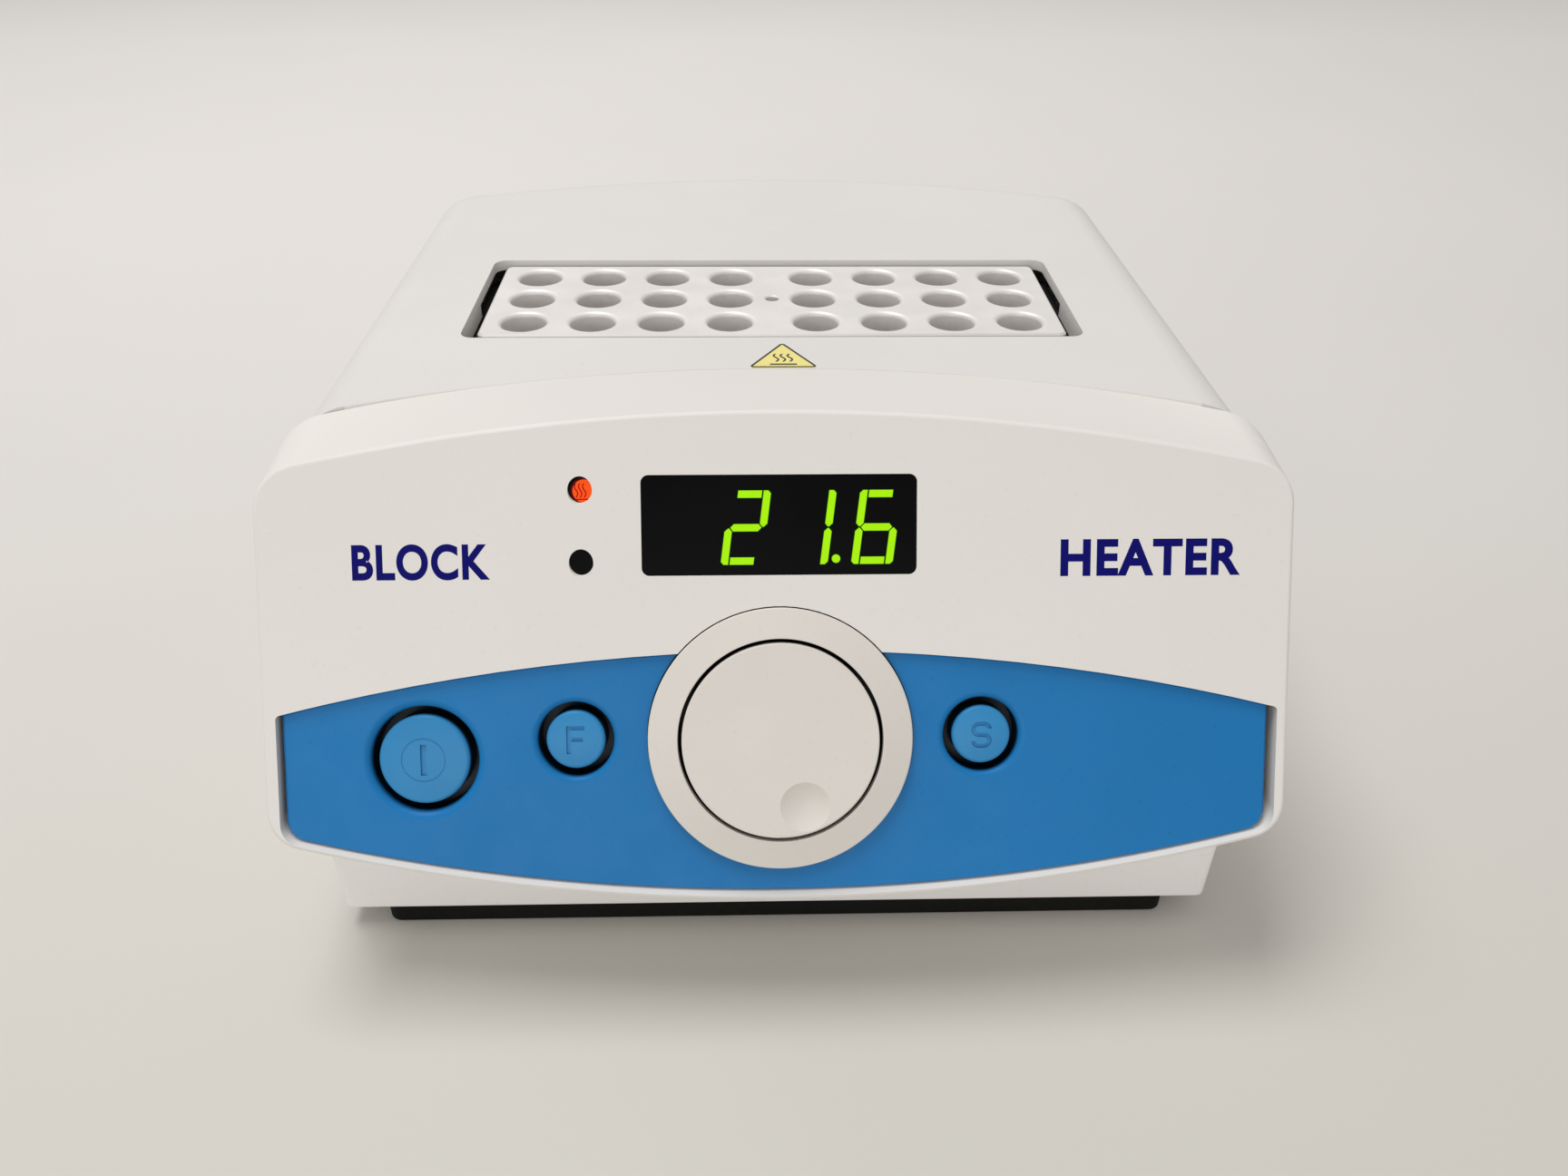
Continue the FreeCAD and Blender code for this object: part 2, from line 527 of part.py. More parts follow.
def control_knob():
    hub_r, bore_r, face_back = 5.4, 3.03, -1.4
    profile = [
        (0, -0.6), (0, KNOB_FACE), (KNOB_R, KNOB_FACE), (KNOB_R, KNOB_SKIRT), (KNOB_R - KNOB_WALL, KNOB_SKIRT),
        (KNOB_R - KNOB_WALL, face_back), (hub_r, face_back), (hub_r, -4.9), (bore_r, -4.9), (bore_r, -0.6),
    ]
    wire = Part.makePolygon([Vector(r, 0, w) for r, w in profile + profile[:1]])
    knob = Part.Face(wire).revolve(Vector(0, 0, 0), Vector(0, 0, 1), 360)
    rim = [e for e in circles(knob, KNOB_R) if e.Curve.Center.z > 0]
    knob = knob.makeFillet(0.3, rim)
    angle = math.radians(DIMPLE_ANGLE)
    ball_r = (DIMPLE_R ** 2 + DIMPLE_DEPTH ** 2) / (2 * DIMPLE_DEPTH)
    spot = Vector(DIMPLE_OFFSET * math.sin(angle), -DIMPLE_OFFSET * math.cos(angle),
                  KNOB_FACE - DIMPLE_DEPTH + ball_r)
    knob = knob.cut(Part.makeSphere(ball_r, spot))
    for i in range(4):
        rib = Part.makeBox(KNOB_R - KNOB_WALL - hub_r + 0.6, 1.2, 2.4, Vector(hub_r - 0.3, -0.6, -3.8))
        rib.rotate(Vector(0, 0, 0), Vector(0, 0, 1), 45 + 90 * i)
        knob = knob.fuse(rib)
    return placed(knob.removeSplitter(), on_face(0, RING_V))


def encoder_shaft():
    shaft = rod(3.0, (0, 0, -15.0), (0, 0, -0.8))
    flat = Part.makeBox(8, 4, 3.6, Vector(-4, 2.3, -4.4))
    return placed(shaft.cut(flat), on_face(0, RING_V))


def rotary_encoder():
    body = Part.makeBox(12.4, 13.2, 6.6, Vector(-6.2, -6.6, BOARD_FRONT))
    bush = rod(3.5, (0, 0, -11.0), (0, 0, -5.4))
    bore = rod(3.05, (0, 0, -15.2), (0, 0, 5))
    return placed(body.fuse(bush).cut(bore).removeSplitter(), on_face(0, RING_V))


def encoder_nut():
    nut = Part.Face(Part.makePolygon([
        Vector(5.6 * math.cos(math.radians(60 * i)), 5.6 * math.sin(math.radians(60 * i)), DIAL_FLOOR)
        for i in range(7)])).extrude(Vector(0, 0, 2.0))
    return placed(nut.cut(rod(3.55, (0, 0, -20), (0, 0, 5))), on_face(0, RING_V))


# ================================================================ buttons and switches
def stroke_bar(x0, y0, x1, y1, width, z0, z1):
    a, b = Vector(x0, y0, 0), Vector(x1, y1, 0)
    bar = Part.makeBox((b - a).Length + width, width, z1 - z0, Vector(-width / 2, -width / 2, z0))
    bar.Placement = Placement(a, Rotation(Vector(1, 0, 0), b - a))
    return bar


def half_ring(x, y, r, width, x0, x1, y0, y1, z0, z1):
    """Part of a ring inside a box."""
    outer = Part.makeCylinder(r + width / 2, z1 - z0, Vector(x, y, z0))
    ring = outer.cut(Part.makeCylinder(r - width / 2, z1 - z0, Vector(x, y, z0)))
    return ring.common(box(x0, x1, y0, y1, z0, z1))


def letter_s(r, shift, width, z0, z1):
    parts = [box(-shift, shift, -width / 2, width / 2, z0, z1)]
    for s in (1, -1):
        edge = 2 * s * r
        parts.append(box(-shift, shift, edge - width / 2, edge + width / 2, z0, z1))
        turn_x, end_x = -s * shift, s * shift
        x0, x1 = sorted((turn_x, turn_x - s * 5))
        parts.append(half_ring(turn_x, s * r, r, width, x0, x1, -9, 9, z0, z1))
        x0, x1 = sorted((end_x, end_x + s * 5))
        y0, y1 = sorted((s * (r + 0.15), s * 9))
        parts.append(half_ring(end_x, s * r, r, width, x0, x1, y0, y1, z0, z1))
    return fuse(parts)


def button_mark(name):
    """Engraving on the cap with its depth: a bar in a ring, and plain F and S key letters."""
    z0, z1, width = -3.0, 5.0, 0.8
    if name == "power":
        ring = half_ring(0, 0, 4.2, 0.3, -9, 9, -9, 9, z0, z1)
        return [(stroke_bar(0, -2.5, 0, 2.5, 1.15, z0, z1), 0.5), (ring, 0.12)]
    if name == "f":
        bars = [((-1.35, -2.35), (-1.35, 2.35)), ((-1.35, 2.35), (1.35, 2.35)), ((-1.35, 0.1), (1.05, 0.1))]
        return [(fuse([stroke_bar(*a, *b, width, z0, z1) for a, b in bars]), 0.45)]
    return [(letter_s(1.1, 0.5, width, z0, z1), 0.45)]


def button(name):
    x, v, cap_r, hole_r, _ = BUTTONS[name]
    dome = 0.75 if name == "power" else 0.6
    edge_w = -PANEL_RECESS - 0.3
    apex = edge_w + dome
    ball_r = (cap_r ** 2 + dome ** 2) / (2 * dome)

    def ball(drop):
        return Part.makeSphere(ball_r, Vector(0, 0, apex - ball_r - drop))

    flange_top = SLEEVE_BACK - TOUCH
    cap = Part.makeCylinder(cap_r, 12.0, Vector(0, 0, flange_top - 0.6)).common(ball(0))
    rim = [e for e in circles(cap, cap_r) if e.Curve.Center.z > edge_w - 0.1]
    cap = cap.makeFillet(CAP_EDGE, rim)
    inner_r, roof_w = cap_r - CAP_WALL, edge_w - CAP_ROOF
    cap = cap.cut(Part.makeCylinder(inner_r, 20.0, Vector(0, 0, roof_w - 20.0)))
    flange = Part.makeCylinder(hole_r + 1.0, FLANGE_THICK, Vector(0, 0, flange_top - FLANGE_THICK))
    flange = flange.cut(Part.makeCylinder(inner_r, 10, Vector(0, 0, -15)))
    stem_end = SWITCH_TOP + 0.1
    stem = Part.makeCylinder(1.8, roof_w + 0.2 - stem_end, Vector(0, 0, stem_end))
    cap = fuse([cap, flange, stem])
    for mark, depth in button_mark(name):
        layer = ball(0).cut(ball(depth)).common(mark)
        cap = cap.cut(layer)
    return placed(cap.removeSplitter(), on_face(x, v))


def tact_switch(name):
    x, v = BUTTONS[name][:2]
    size = 10.0 if name == "power" else 6.2
    body = Part.makeBox(size, size, 3.8, Vector(-size / 2, -size / 2, BOARD_FRONT))
    tip = rod(1.6, (0, 0, BOARD_FRONT + 3.6), (0, 0, SWITCH_TOP - BUTTON_TRAVEL))
    return placed(fuse([body, tip]), on_face(x, v))


# ================================================================ display
def display_window():
    plate = round_plate(WINDOW_W - 0.3, WINDOW_H - 0.3, 1.35, -WALL - 0.3, -0.3)
    flange = round_plate(WINDOW_W + 4, WINDOW_H + 3.2, 1.0, -WALL - 1.7, -WALL - GAP)
    return placed(fuse([plate, flange]), on_face())


def led_display():
    body = round_plate(50.3, 19.0, 0.6, -12.4, -4.4)
    return placed(body, on_face())


def display_socket():
    strips = [box(-24.5, 24.5, s * 7.6 - 1.25, s * 7.6 + 1.25, BOARD_FRONT, -12.4) for s in (1, -1)]
    return placed(group(strips), on_face())


def display_board():
    board = round_plate(164, 69, 2.0, BOARD_FRONT - BOARD_THICK, BOARD_FRONT, 0, -20.0)
    for s in (1, -1):
        for x, v in BOARD_POSTS:
            board = board.cut(Part.makeCylinder(1.6, 10, Vector(s * x, v, BOARD_FRONT - 5)))
    board = board.cut(Part.makeCylinder(3.3, 10, Vector(0, RING_V, BOARD_FRONT - 5)))
    for s in (1, -1):
        board = board.cut(box(s * LUG_X - 4.5, s * LUG_X + 4.5, -60, -49.5, -30, 0))
    return placed(board, on_face())


def display_board_screws():
    back = BOARD_FRONT - BOARD_THICK
    screws = [screw((s * x, v, back), (0, 0, 1), 2.6, 1.9, 1.2, 8.0)
              for s in (1, -1) for x, v in BOARD_POSTS]
    return placed(group(screws), on_face())


def indicator_lens(v):
    spot = on_face(INDICATOR_X, v).Base
    pipe = rod(INDICATOR_R - 0.1, (spot.x, spot.y - 10, spot.z), (spot.x, spot.y + 9.5, spot.z))
    collar = rod(INDICATOR_R + 1.0, (spot.x, spot.y + 5.2, spot.z), (spot.x, spot.y + 6.6, spot.z))
    return pipe.fuse(collar).cut(face_slab(-1.5, 60)).removeSplitter()


def indicator_leds():
    leds = []
    for v in INDICATOR_V:
        spot = on_face(INDICATOR_X, v - 5.6, BOARD_FRONT)
        leds.append(placed(Part.makeBox(3.2, 2.6, 1.4, Vector(-1.6, -1.3, 0)), spot))
    return group(leds)


# ================================================================ block and heater
def tube_block():
    mid_y = (BLOCK_Y0 + BLOCK_Y1) / 2
    block = round_plate(2 * BLOCK_HALF_X, BLOCK_Y1 - BLOCK_Y0, 2.0, BLOCK_BOTTOM, BLOCK_TOP, 0, mid_y)
    rim = [e for e in block.Edges if e.BoundBox.ZMin > BLOCK_TOP - 0.01 or e.BoundBox.ZMax < BLOCK_BOTTOM + 0.01]
    block = block.makeChamfer(0.5, rim)
    tools = []
    for y in TUBE_Y:
        for x in TUBE_X:
            for s in (1, -1):
                at = Vector(s * x, y, BLOCK_TOP - TUBE_DEPTH)
                tools.append(Part.makeCylinder(TUBE_R, TUBE_DEPTH + 1, at))
                tools.append(Part.makeCone(TUBE_TIP_R, TUBE_R, TUBE_TIP, at - Vector(0, 0, TUBE_TIP)))
    tools.append(Part.makeCylinder(LIFT_R, LIFT_DEPTH + 1, Vector(0, WELL_MID_Y, BLOCK_TOP - LIFT_DEPTH)))
    block = cut(block, *tools)
    mouths = [e for e in circles(block, TUBE_R) if e.Curve.Center.z > BLOCK_TOP - 0.01]
    block = block.makeFillet(TUBE_MOUTH_R, mouths)
    lift = [e for e in circles(block, LIFT_R) if e.Curve.Center.z > BLOCK_TOP - 0.01]
    return block.makeChamfer(LIFT_CHAMFER, lift)


def well_box(grow, z0, z1, r):
    return round_plate(2 * (WELL_IN_X + grow), 2 * (WELL_IN_Y + grow), r, z0, z1, 0, WELL_MID_Y)


def heater_well():
    body = well_box(WELL_WALL, BLOCK_BOTTOM - WELL_FLOOR, WELL_TOP, 5.0)
    body = body.cut(well_box(0, BLOCK_BOTTOM, WELL_TOP + 1, 1.5))
    probe = rod(2.1, (SENSOR_X, -30, SENSOR_Z), (SENSOR_X, 6, SENSOR_Z))
    return body.cut(probe)


def well_gasket():
    return well_box(WELL_WALL, WELL_TOP, GASKET_TOP, 5.0).cut(well_box(0, WELL_TOP - 1, GASKET_TOP + 1, 1.5))


def heater_mat():
    z1 = BLOCK_BOTTOM - WELL_FLOOR
    return round_plate(124, 38, 2.0, z1 - MAT_THICK, z1, 0, WELL_MID_Y)


def clamp_plate():
    z1 = BLOCK_BOTTOM - WELL_FLOOR - MAT_THICK
    plate = round_plate(124, 38, 2.0, z1 - CLAMP_THICK, z1, 0, WELL_MID_Y)
    return cut(plate, rod(8.4, (CUTOUT_X, WELL_MID_Y, z1 - 5), (CUTOUT_X, WELL_MID_Y, z1 + 5)),
               box(44, 56, 23, 30, 40, 60))


def thermal_cutout():
    z1 = BLOCK_BOTTOM - WELL_FLOOR - MAT_THICK
    disc = rod(8.0, (CUTOUT_X, WELL_MID_Y, z1 - 4.2), (CUTOUT_X, WELL_MID_Y, z1))
    tabs = [box(CUTOUT_X + x - 2.4, CUTOUT_X + x + 2.4, WELL_MID_Y - 0.4, WELL_MID_Y + 0.4, z1 - 9.0, z1 - 4.0)
            for x in (-5, 5)]
    return fuse([disc] + tabs)


def well_insulation():
    inner = WELL_WALL + TOUCH
    outer = inner + INSULATION
    jacket = well_box(outer, INSULATION_BOTTOM, INSULATION_TOP, 6.0)
    floor_z = BLOCK_BOTTOM - WELL_FLOOR - MAT_THICK - CLAMP_THICK - GAP
    jacket = jacket.cut(well_box(inner, floor_z, INSULATION_TOP + 1, 5.2))
    jacket = jacket.cut(rod(8.5, (CUTOUT_X, WELL_MID_Y, 30), (CUTOUT_X, WELL_MID_Y, 60)))
    jacket = jacket.cut(rod(2.6, (SENSOR_X, -40, SENSOR_Z), (SENSOR_X, -15, SENSOR_Z)))
    for s in (1, -1):
        jacket = jacket.cut(rod(1.6, (50 + s * 3, 26, 30), (50 + s * 3, 26, 60)))
    return jacket


def well_bracket():
    """Folded steel bridge that carries the well over the main board."""
    z0, z1, y0, y1 = FLOOR_Z + 3.0, INSULATION_BOTTOM, -14, 31
    parts = [box(-BRACKET_LEG, BRACKET_LEG, y0, y1, z1 - BRACKET_THICK, z1)]
    for s in (1, -1):
        x0, x1 = sorted((s * BRACKET_LEG, s * (BRACKET_LEG - BRACKET_THICK)))
        parts.append(box(x0, x1, y0, y1, z0, z1))
        x0, x1 = sorted((s * BRACKET_LEG, s * (BRACKET_LEG - 13)))
        parts.append(box(x0, x1, y0, y1, z0, z0 + BRACKET_THICK))
    bracket = fuse(parts)
    holes = [rod(1.8, (s * BRACKET_X, y, 0), (s * BRACKET_X, y, 30)) for s in (1, -1) for y in BRACKET_Y]
    holes.append(rod(10.0, (CUTOUT_X, WELL_MID_Y, 30), (CUTOUT_X, WELL_MID_Y, 60)))
    holes.append(box(44, 56, 22, 30, 30, 60))
    return cut(bracket, *holes)


def bracket_screws():
    z = FLOOR_Z + 3.0 + BRACKET_THICK
    return group([screw((s * BRACKET_X, y, z), (0, 0, -1), 2.8, 2.0, 1.5, 5.0)
                  for s in (1, -1) for y in BRACKET_Y])


def temperature_sensor():
    probe = rod(2.0, (SENSOR_X, -24, SENSOR_Z), (SENSOR_X, 5.6, SENSOR_Z))
    sleeve = rod(2.4, (SENSOR_X, -31, SENSOR_Z), (SENSOR_X, -24, SENSOR_Z))
    return fuse([probe, sleeve])


# ================================================================ electronics
def main_board():
    board = round_plate(124, 90, 2.0, PCB_Z, PCB_TOP, 0, 4.0)
    for s in (1, -1):
        for y in PCB_POST_Y:
            board = board.cut(rod(1.6, (s * PCB_POST_X, y, 0), (s * PCB_POST_X, y, 30)))
    return board


def board_screws():
    return group([screw((s * PCB_POST_X, y, PCB_TOP), (0, 0, -1), 2.6, 1.9, 1.2, 6.0)
                  for s in (1, -1) for y in PCB_POST_Y])


def transformer():
    z = PCB_TOP
    core = box(-50, -16, -28, 0, z, z + 21)
    core = cut(core, box(-44, -22, -30, -21, z + 6, z + 15), box(-44, -22, -7, 5, z + 6, z + 15))
    coil = round_plate(22, 33, 3.0, z + 6.2, z + 14.8, -33, -14)
    return fuse([core, coil])


def terminal_block():
    z = PCB_TOP
    body = box(14, 49, 34, 44, z, z + 12)
    for i in range(TERMINALS):
        x = TERMINAL_X + TERMINAL_PITCH * i
        body = body.cut(rod(2.0, (x, 40.5, z + 7), (x, 40.5, z + 13)))
        body = body.cut(box(x - 2, x + 2, 30, 37, z + 2, z + 6))
    return body


def mains_relay():
    z = PCB_TOP
    body = box(-50, -22, 18, 30, z, z + 15)
    return body.makeChamfer(0.6, [e for e in body.Edges if e.BoundBox.ZMin > z + 14])


def capacitors():
    z = PCB_TOP
    cans = []
    for x, y, r, h in ((0, -30, 5, 16), (14, -30, 5, 16), (26, -30, 4, 12)):
        can = rod(r, (x, y, z), (x, y, z + h))
        cans.append(can.makeFillet(0.6, [e for e in can.Edges if e.BoundBox.ZMin > z + h - 0.1]))
    return group(cans)


def triac_heatsink():
    z = PCB_TOP
    fins = [box(6, 40, 14 + 4 * i, 15.2 + 4 * i, z, z + 18) for i in range(3)]
    fins.append(box(6, 40, 14, 23.2, z, z + 2))
    return fuse(fins)


def triac():
    z = PCB_TOP
    return fuse([box(18, 28, 9.6, 14, z + 2, z + 12), box(18, 28, 12.8, 14, z + 12, z + 17)])


def controller_chip():
    z = PCB_TOP
    body = box(-10, 2, -8, 4, z + 0.3, z + 1.9)
    legs = []
    for i in range(8):
        at = -7.2 + 1.3 * i
        legs.append(box(-11.2, 3.2, at - 0.2, at + 0.2, z, z + 0.5))
        legs.append(box(-8.2 + 1.3 * i, -7.8 + 1.3 * i, -9.2, 5.2, z, z + 0.5))
    return fuse([body] + legs)


# ================================================================ rear inlet
def mains_inlet():
    y = INLET_PLATE_Y
    plate = round_plate(48, 32, 3.0, 0, INLET_FLANGE)
    plate.Placement = Placement(Vector(0, y + INLET_FLANGE, INLET_Z), Rotation(Vector(1, 0, 0), 90))
    body = box(-13.3, 13.3, y - 27, y, INLET_Z - 15.3, INLET_Z + 15.3)
    inlet = fuse([plate, body])
    socket = Part.makePolygon([Vector(p[0], 0, p[1]) for p in (
        (-12.1, -8.1), (12.1, -8.1), (12.1, 4.1), (8.1, 8.1), (-8.1, 8.1), (-12.1, 4.1), (-12.1, -8.1))])
    socket = Part.Face(socket).extrude(Vector(0, 20, 0))
    socket.translate(Vector(0, y + INLET_FLANGE - SOCKET_DEPTH, SOCKET_Z))
    inlet = inlet.cut(socket)
    inlet = inlet.cut(box(-11.7, 11.7, y - 22.4, y + 10, DRAWER_Z - 4.3, DRAWER_Z + 4.3))
    for s in (1, -1):
        inlet = inlet.cut(rod(1.7, (s * INLET_SCREW_X, y - 5, INLET_Z), (s * INLET_SCREW_X, y + 10, INLET_Z)))
        sink = Vector(s * INLET_SCREW_X, y + 0.8, INLET_Z)
        inlet = inlet.cut(Part.makeCone(1.7, 3.3, 1.7, sink, Vector(0, 1, 0)))
    for x, z in PIN_PLACES:
        inlet = inlet.cut(box(x - 1.0, x + 1.0, y - 40, y, SOCKET_Z + z - 2.0, SOCKET_Z + z + 2.0))
    return inlet


def inlet_pins():
    y = INLET_PLATE_Y
    pins = []
    for x, z in PIN_PLACES:
        blade = box(x - 1.0, x + 1.0, y - 35, y - 1.5, SOCKET_Z + z - 2.0, SOCKET_Z + z + 2.0)
        tip = [e for e in blade.Edges if e.BoundBox.YMin > y - 1.6]
        pins.append(blade.makeChamfer(0.6, tip))
    return group(pins)


def fuse_drawer():
    y = INLET_PLATE_Y
    front = round_plate(26.0, 9.6, 1.2, 0, 1.6)
    front.Placement = Placement(Vector(0, y + 4.1, DRAWER_Z), Rotation(Vector(1, 0, 0), 90))
    tray = box(-11.5, 11.5, y - 22, y + 2.6, DRAWER_Z - 4.1, DRAWER_Z + 4.1)
    drawer = fuse([front, tray])
    drawer = drawer.cut(box(-3.5, 3.5, y + 3.3, y + 9, DRAWER_Z - 1.5, DRAWER_Z + 2.8))
    for s in (1, -1):
        drawer = drawer.cut(box(s * FUSE_X - 2.9, s * FUSE_X + 2.9, y - 21, y + 0.2, DRAWER_Z - 2.9, DRAWER_Z + 9))
    return drawer


def fuses():
    y = INLET_PLATE_Y
    tubes = []
    for s in (1, -1):
        x, z = s * FUSE_X, DRAWER_Z - 0.2
        glass = rod(2.3, (x, y - 20.4, z), (x, y - 0.4, z))
        caps = [rod(2.6, (x, y - 20.4, z), (x, y - 15.4, z)), rod(2.6, (x, y - 5.4, z), (x, y - 0.4, z))]
        tubes.append(fuse([glass] + caps))
    return group(tubes)


def inlet_screws():
    y = INLET_PLATE_Y
    screws = []
    for s in (1, -1):
        head = Part.makeCone(1.5, 3.0, 1.5, Vector(s * INLET_SCREW_X, y + 0.9, INLET_Z), Vector(0, 1, 0))
        shank = rod(1.5, (s * INLET_SCREW_X, y - 8, INLET_Z), (s * INLET_SCREW_X, y + 1.0, INLET_Z))
        x = s * INLET_SCREW_X
        slot = box(x - 2.0, x + 2.0, y + 1.7, y + 4, INLET_Z - 0.35, INLET_Z + 0.35)
        cross = box(x - 0.35, x + 0.35, y + 1.7, y + 4, INLET_Z - 2.0, INLET_Z + 2.0)
        screws.append(head.fuse(shank).cut(slot).cut(cross))
    return group(screws)


def inlet_nuts():
    y = INLET_PLATE_Y - WALL
    nuts = []
    for s in (1, -1):
        corners = [Vector(s * INLET_SCREW_X + 3.1 * math.cos(math.radians(60 * i)), y,
                          INLET_Z + 3.1 * math.sin(math.radians(60 * i))) for i in range(7)]
        nut = Part.Face(Part.makePolygon(corners)).extrude(Vector(0, -2.4, 0))
        x = s * INLET_SCREW_X
        nuts.append(nut.cut(rod(1.55, (x, y - 5, INLET_Z), (x, y + 5, INLET_Z))))
    return group(nuts)


# ================================================================ wiring
def heater_leads():
    z = BLOCK_BOTTOM - WELL_FLOOR - MAT_THICK
    leads = []
    for s in (1, -1):
        x = 50 + s * 3
        end_x = 38.5 + (0 if s < 0 else 7)
        leads.append(lead([(x, 26, z), (x, 26, 36), (end_x, 32, 26), (end_x, 31, 19.2), (end_x, 35, 19.2)], 0.9))
    return group(leads)


def sensor_lead():
    x, z = SENSOR_X, SENSOR_Z
    return lead([(x, -31, z), (x, -44, z), (8, -50, 38), (6, -48, 24), (6, -38, PCB_TOP + 1.1)], 1.0)


def mains_leads():
    leads = []
    for i, (x, z) in enumerate(PIN_PLACES):
        y0 = INLET_PLATE_Y - 35
        end_x = TERMINAL_X + TERMINAL_PITCH * i
        zp = SOCKET_Z + z
        leads.append(lead([(x, y0, zp), (x, y0 - 9, zp), (end_x, 53, 25 + i), (end_x, 46.5, 30.5),
                           (end_x, 40.5, 31.5), (end_x, 40.5, 23.5)], 1.1))
    return group(leads)


def ribbon_cable():
    """Flat cable from the display board down to the main board."""
    top = on_face(0, -30, BOARD_FRONT - BOARD_THICK).Base
    path = [(top.y + 0.2, top.z), (top.y + 6, top.z - 4), (-52, 34), (-46, 20), (-38.5, PCB_TOP + 0.2)]
    left, wide, thick, rise = -26, 16, 0.9, 0.27
    lower = [Vector(left, y, z) for y, z in path]
    upper = [p + Vector(0, thick, rise) for p in reversed(lower)]
    face = Part.Face(Part.makePolygon(lower + upper + lower[:1]))
    return face.extrude(Vector(wide, 0, 0))


# ================================================================ feet, screws and labels
def rubber_feet():
    feet = []
    for s in (1, -1):
        for y in FOOT_Y:
            foot = Part.makeCone(FOOT_R - 0.8, FOOT_R, FOOT_TOP, Vector(s * FOOT_X, y, 0))
            foot = foot.cut(rod(1.65, (s * FOOT_X, y, -1), (s * FOOT_X, y, 9)))
            foot = foot.cut(rod(3.2, (s * FOOT_X, y, -1), (s * FOOT_X, y, FOOT_RECESS)))
            feet.append(foot)
    return group(feet)


def foot_screws():
    return group([screw((s * FOOT_X, y, FOOT_RECESS), (0, 0, 1), 2.8, 2.0, 1.5, 7.0)
                  for s in (1, -1) for y in FOOT_Y])


def case_screws():
    return group([screw((s * POST_X, y, BASE_Z + POST_RECESS), (0, 0, 1), 3.6, 2.6, 1.9, 42.0)
                  for s in (1, -1) for y in POST_Y])


def fascia_screws():
    y = CASE_FRONT_Y + WALL
    return group([screw((s * LUG_X, y, LUG_Z), (0, -1, 0), 2.8, 2.0, 1.2, 7.5) for s in (1, -1)])


def hot_surface_label():
    side, y0, x0 = 15.0, -33.9, 1.7
    high = side * math.sqrt(3) / 2
    corners = [Vector(x0 - side / 2, y0, TOP_Z), Vector(x0 + side / 2, y0, TOP_Z), Vector(x0, y0 + high, TOP_Z)]
    label = Part.Face(Part.makePolygon(corners + corners[:1])).extrude(Vector(0, 0, 0.12))
    return label.makeFillet(0.7, [e for e in label.Edges if e.BoundBox.ZLength > 0.1])


def rating_label():
    return round_plate(62, 30, 2.0, FOOT_TOP - 0.15, FOOT_TOP, 0, 20)


NODES = {
    "base_tray": base_tray,
    "bottom_plate": bottom_plate,
    "top_cover": top_cover,
    "front_fascia": front_fascia,
    "control_panel": control_panel,
    "dial_bezel": dial_bezel,
    "control_knob": control_knob,
    "encoder_shaft": encoder_shaft,
    "rotary_encoder": rotary_encoder,
    "encoder_nut": encoder_nut,
    "power_button": lambda: button("power"),
    "f_button": lambda: button("f"),
    "s_button": lambda: button("s"),
    "power_switch": lambda: tact_switch("power"),
    "f_switch": lambda: tact_switch("f"),
    "s_switch": lambda: tact_switch("s"),
    "display_window": display_window,
    "led_display": led_display,
    "display_socket": display_socket,
    "display_board": display_board,
    "display_board_screws": display_board_screws,
    "heat_indicator_lens": lambda: indicator_lens(INDICATOR_V[0]),
    "timer_indicator_lens": lambda: indicator_lens(INDICATOR_V[1]),
    "indicator_leds": indicator_leds,
    "tube_block": tube_block,
    "heater_well": heater_well,
    "well_gasket": well_gasket,
    "heater_mat": heater_mat,
    "clamp_plate": clamp_plate,
    "thermal_cutout": thermal_cutout,
    "well_insulation": well_insulation,
    "well_bracket": well_bracket,
    "bracket_screws": bracket_screws,
    "temperature_sensor": temperature_sensor,
    "main_board": main_board,
    "board_screws": board_screws,
    "transformer": transformer,
    "terminal_block": terminal_block,
    "mains_relay": mains_relay,
    "capacitors": capacitors,
    "triac_heatsink": triac_heatsink,
    "triac": triac,
    "controller_chip": controller_chip,
    "mains_inlet": mains_inlet,
    "inlet_pins": inlet_pins,
    "inlet_screws": inlet_screws,
    "inlet_nuts": inlet_nuts,
    "fuse_drawer": fuse_drawer,
    "fuses": fuses,
    "heater_leads": heater_leads,
    "sensor_lead": sensor_lead,
    "mains_leads": mains_leads,
    "ribbon_cable": ribbon_cable,
    "rubber_feet": rubber_feet,
    "foot_screws": foot_screws,
    "case_screws": case_screws,
    "fascia_screws": fascia_screws,
    "hot_surface_label": hot_surface_label,
    "rating_label": rating_label,
}

os.makedirs("parts", exist_ok=True)
for node, make in NODES.items():
    shape = make()
    box_mm = shape.BoundBox
    print(f"{node:22s} solids {len(shape.Solids)} valid {shape.isValid()} volume {shape.Volume:10.1f}"
          f"  x {box_mm.XMin:7.1f} {box_mm.XMax:7.1f}  y {box_mm.YMin:7.1f} {box_mm.YMax:7.1f}"
          f"  z {box_mm.ZMin:6.1f} {box_mm.ZMax:6.1f}")
    shape.exportStep(f"parts/{node}.step")
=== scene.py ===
import json
import math

import bmesh
import bpy
import numpy as np
from mathutils import Matrix, Vector


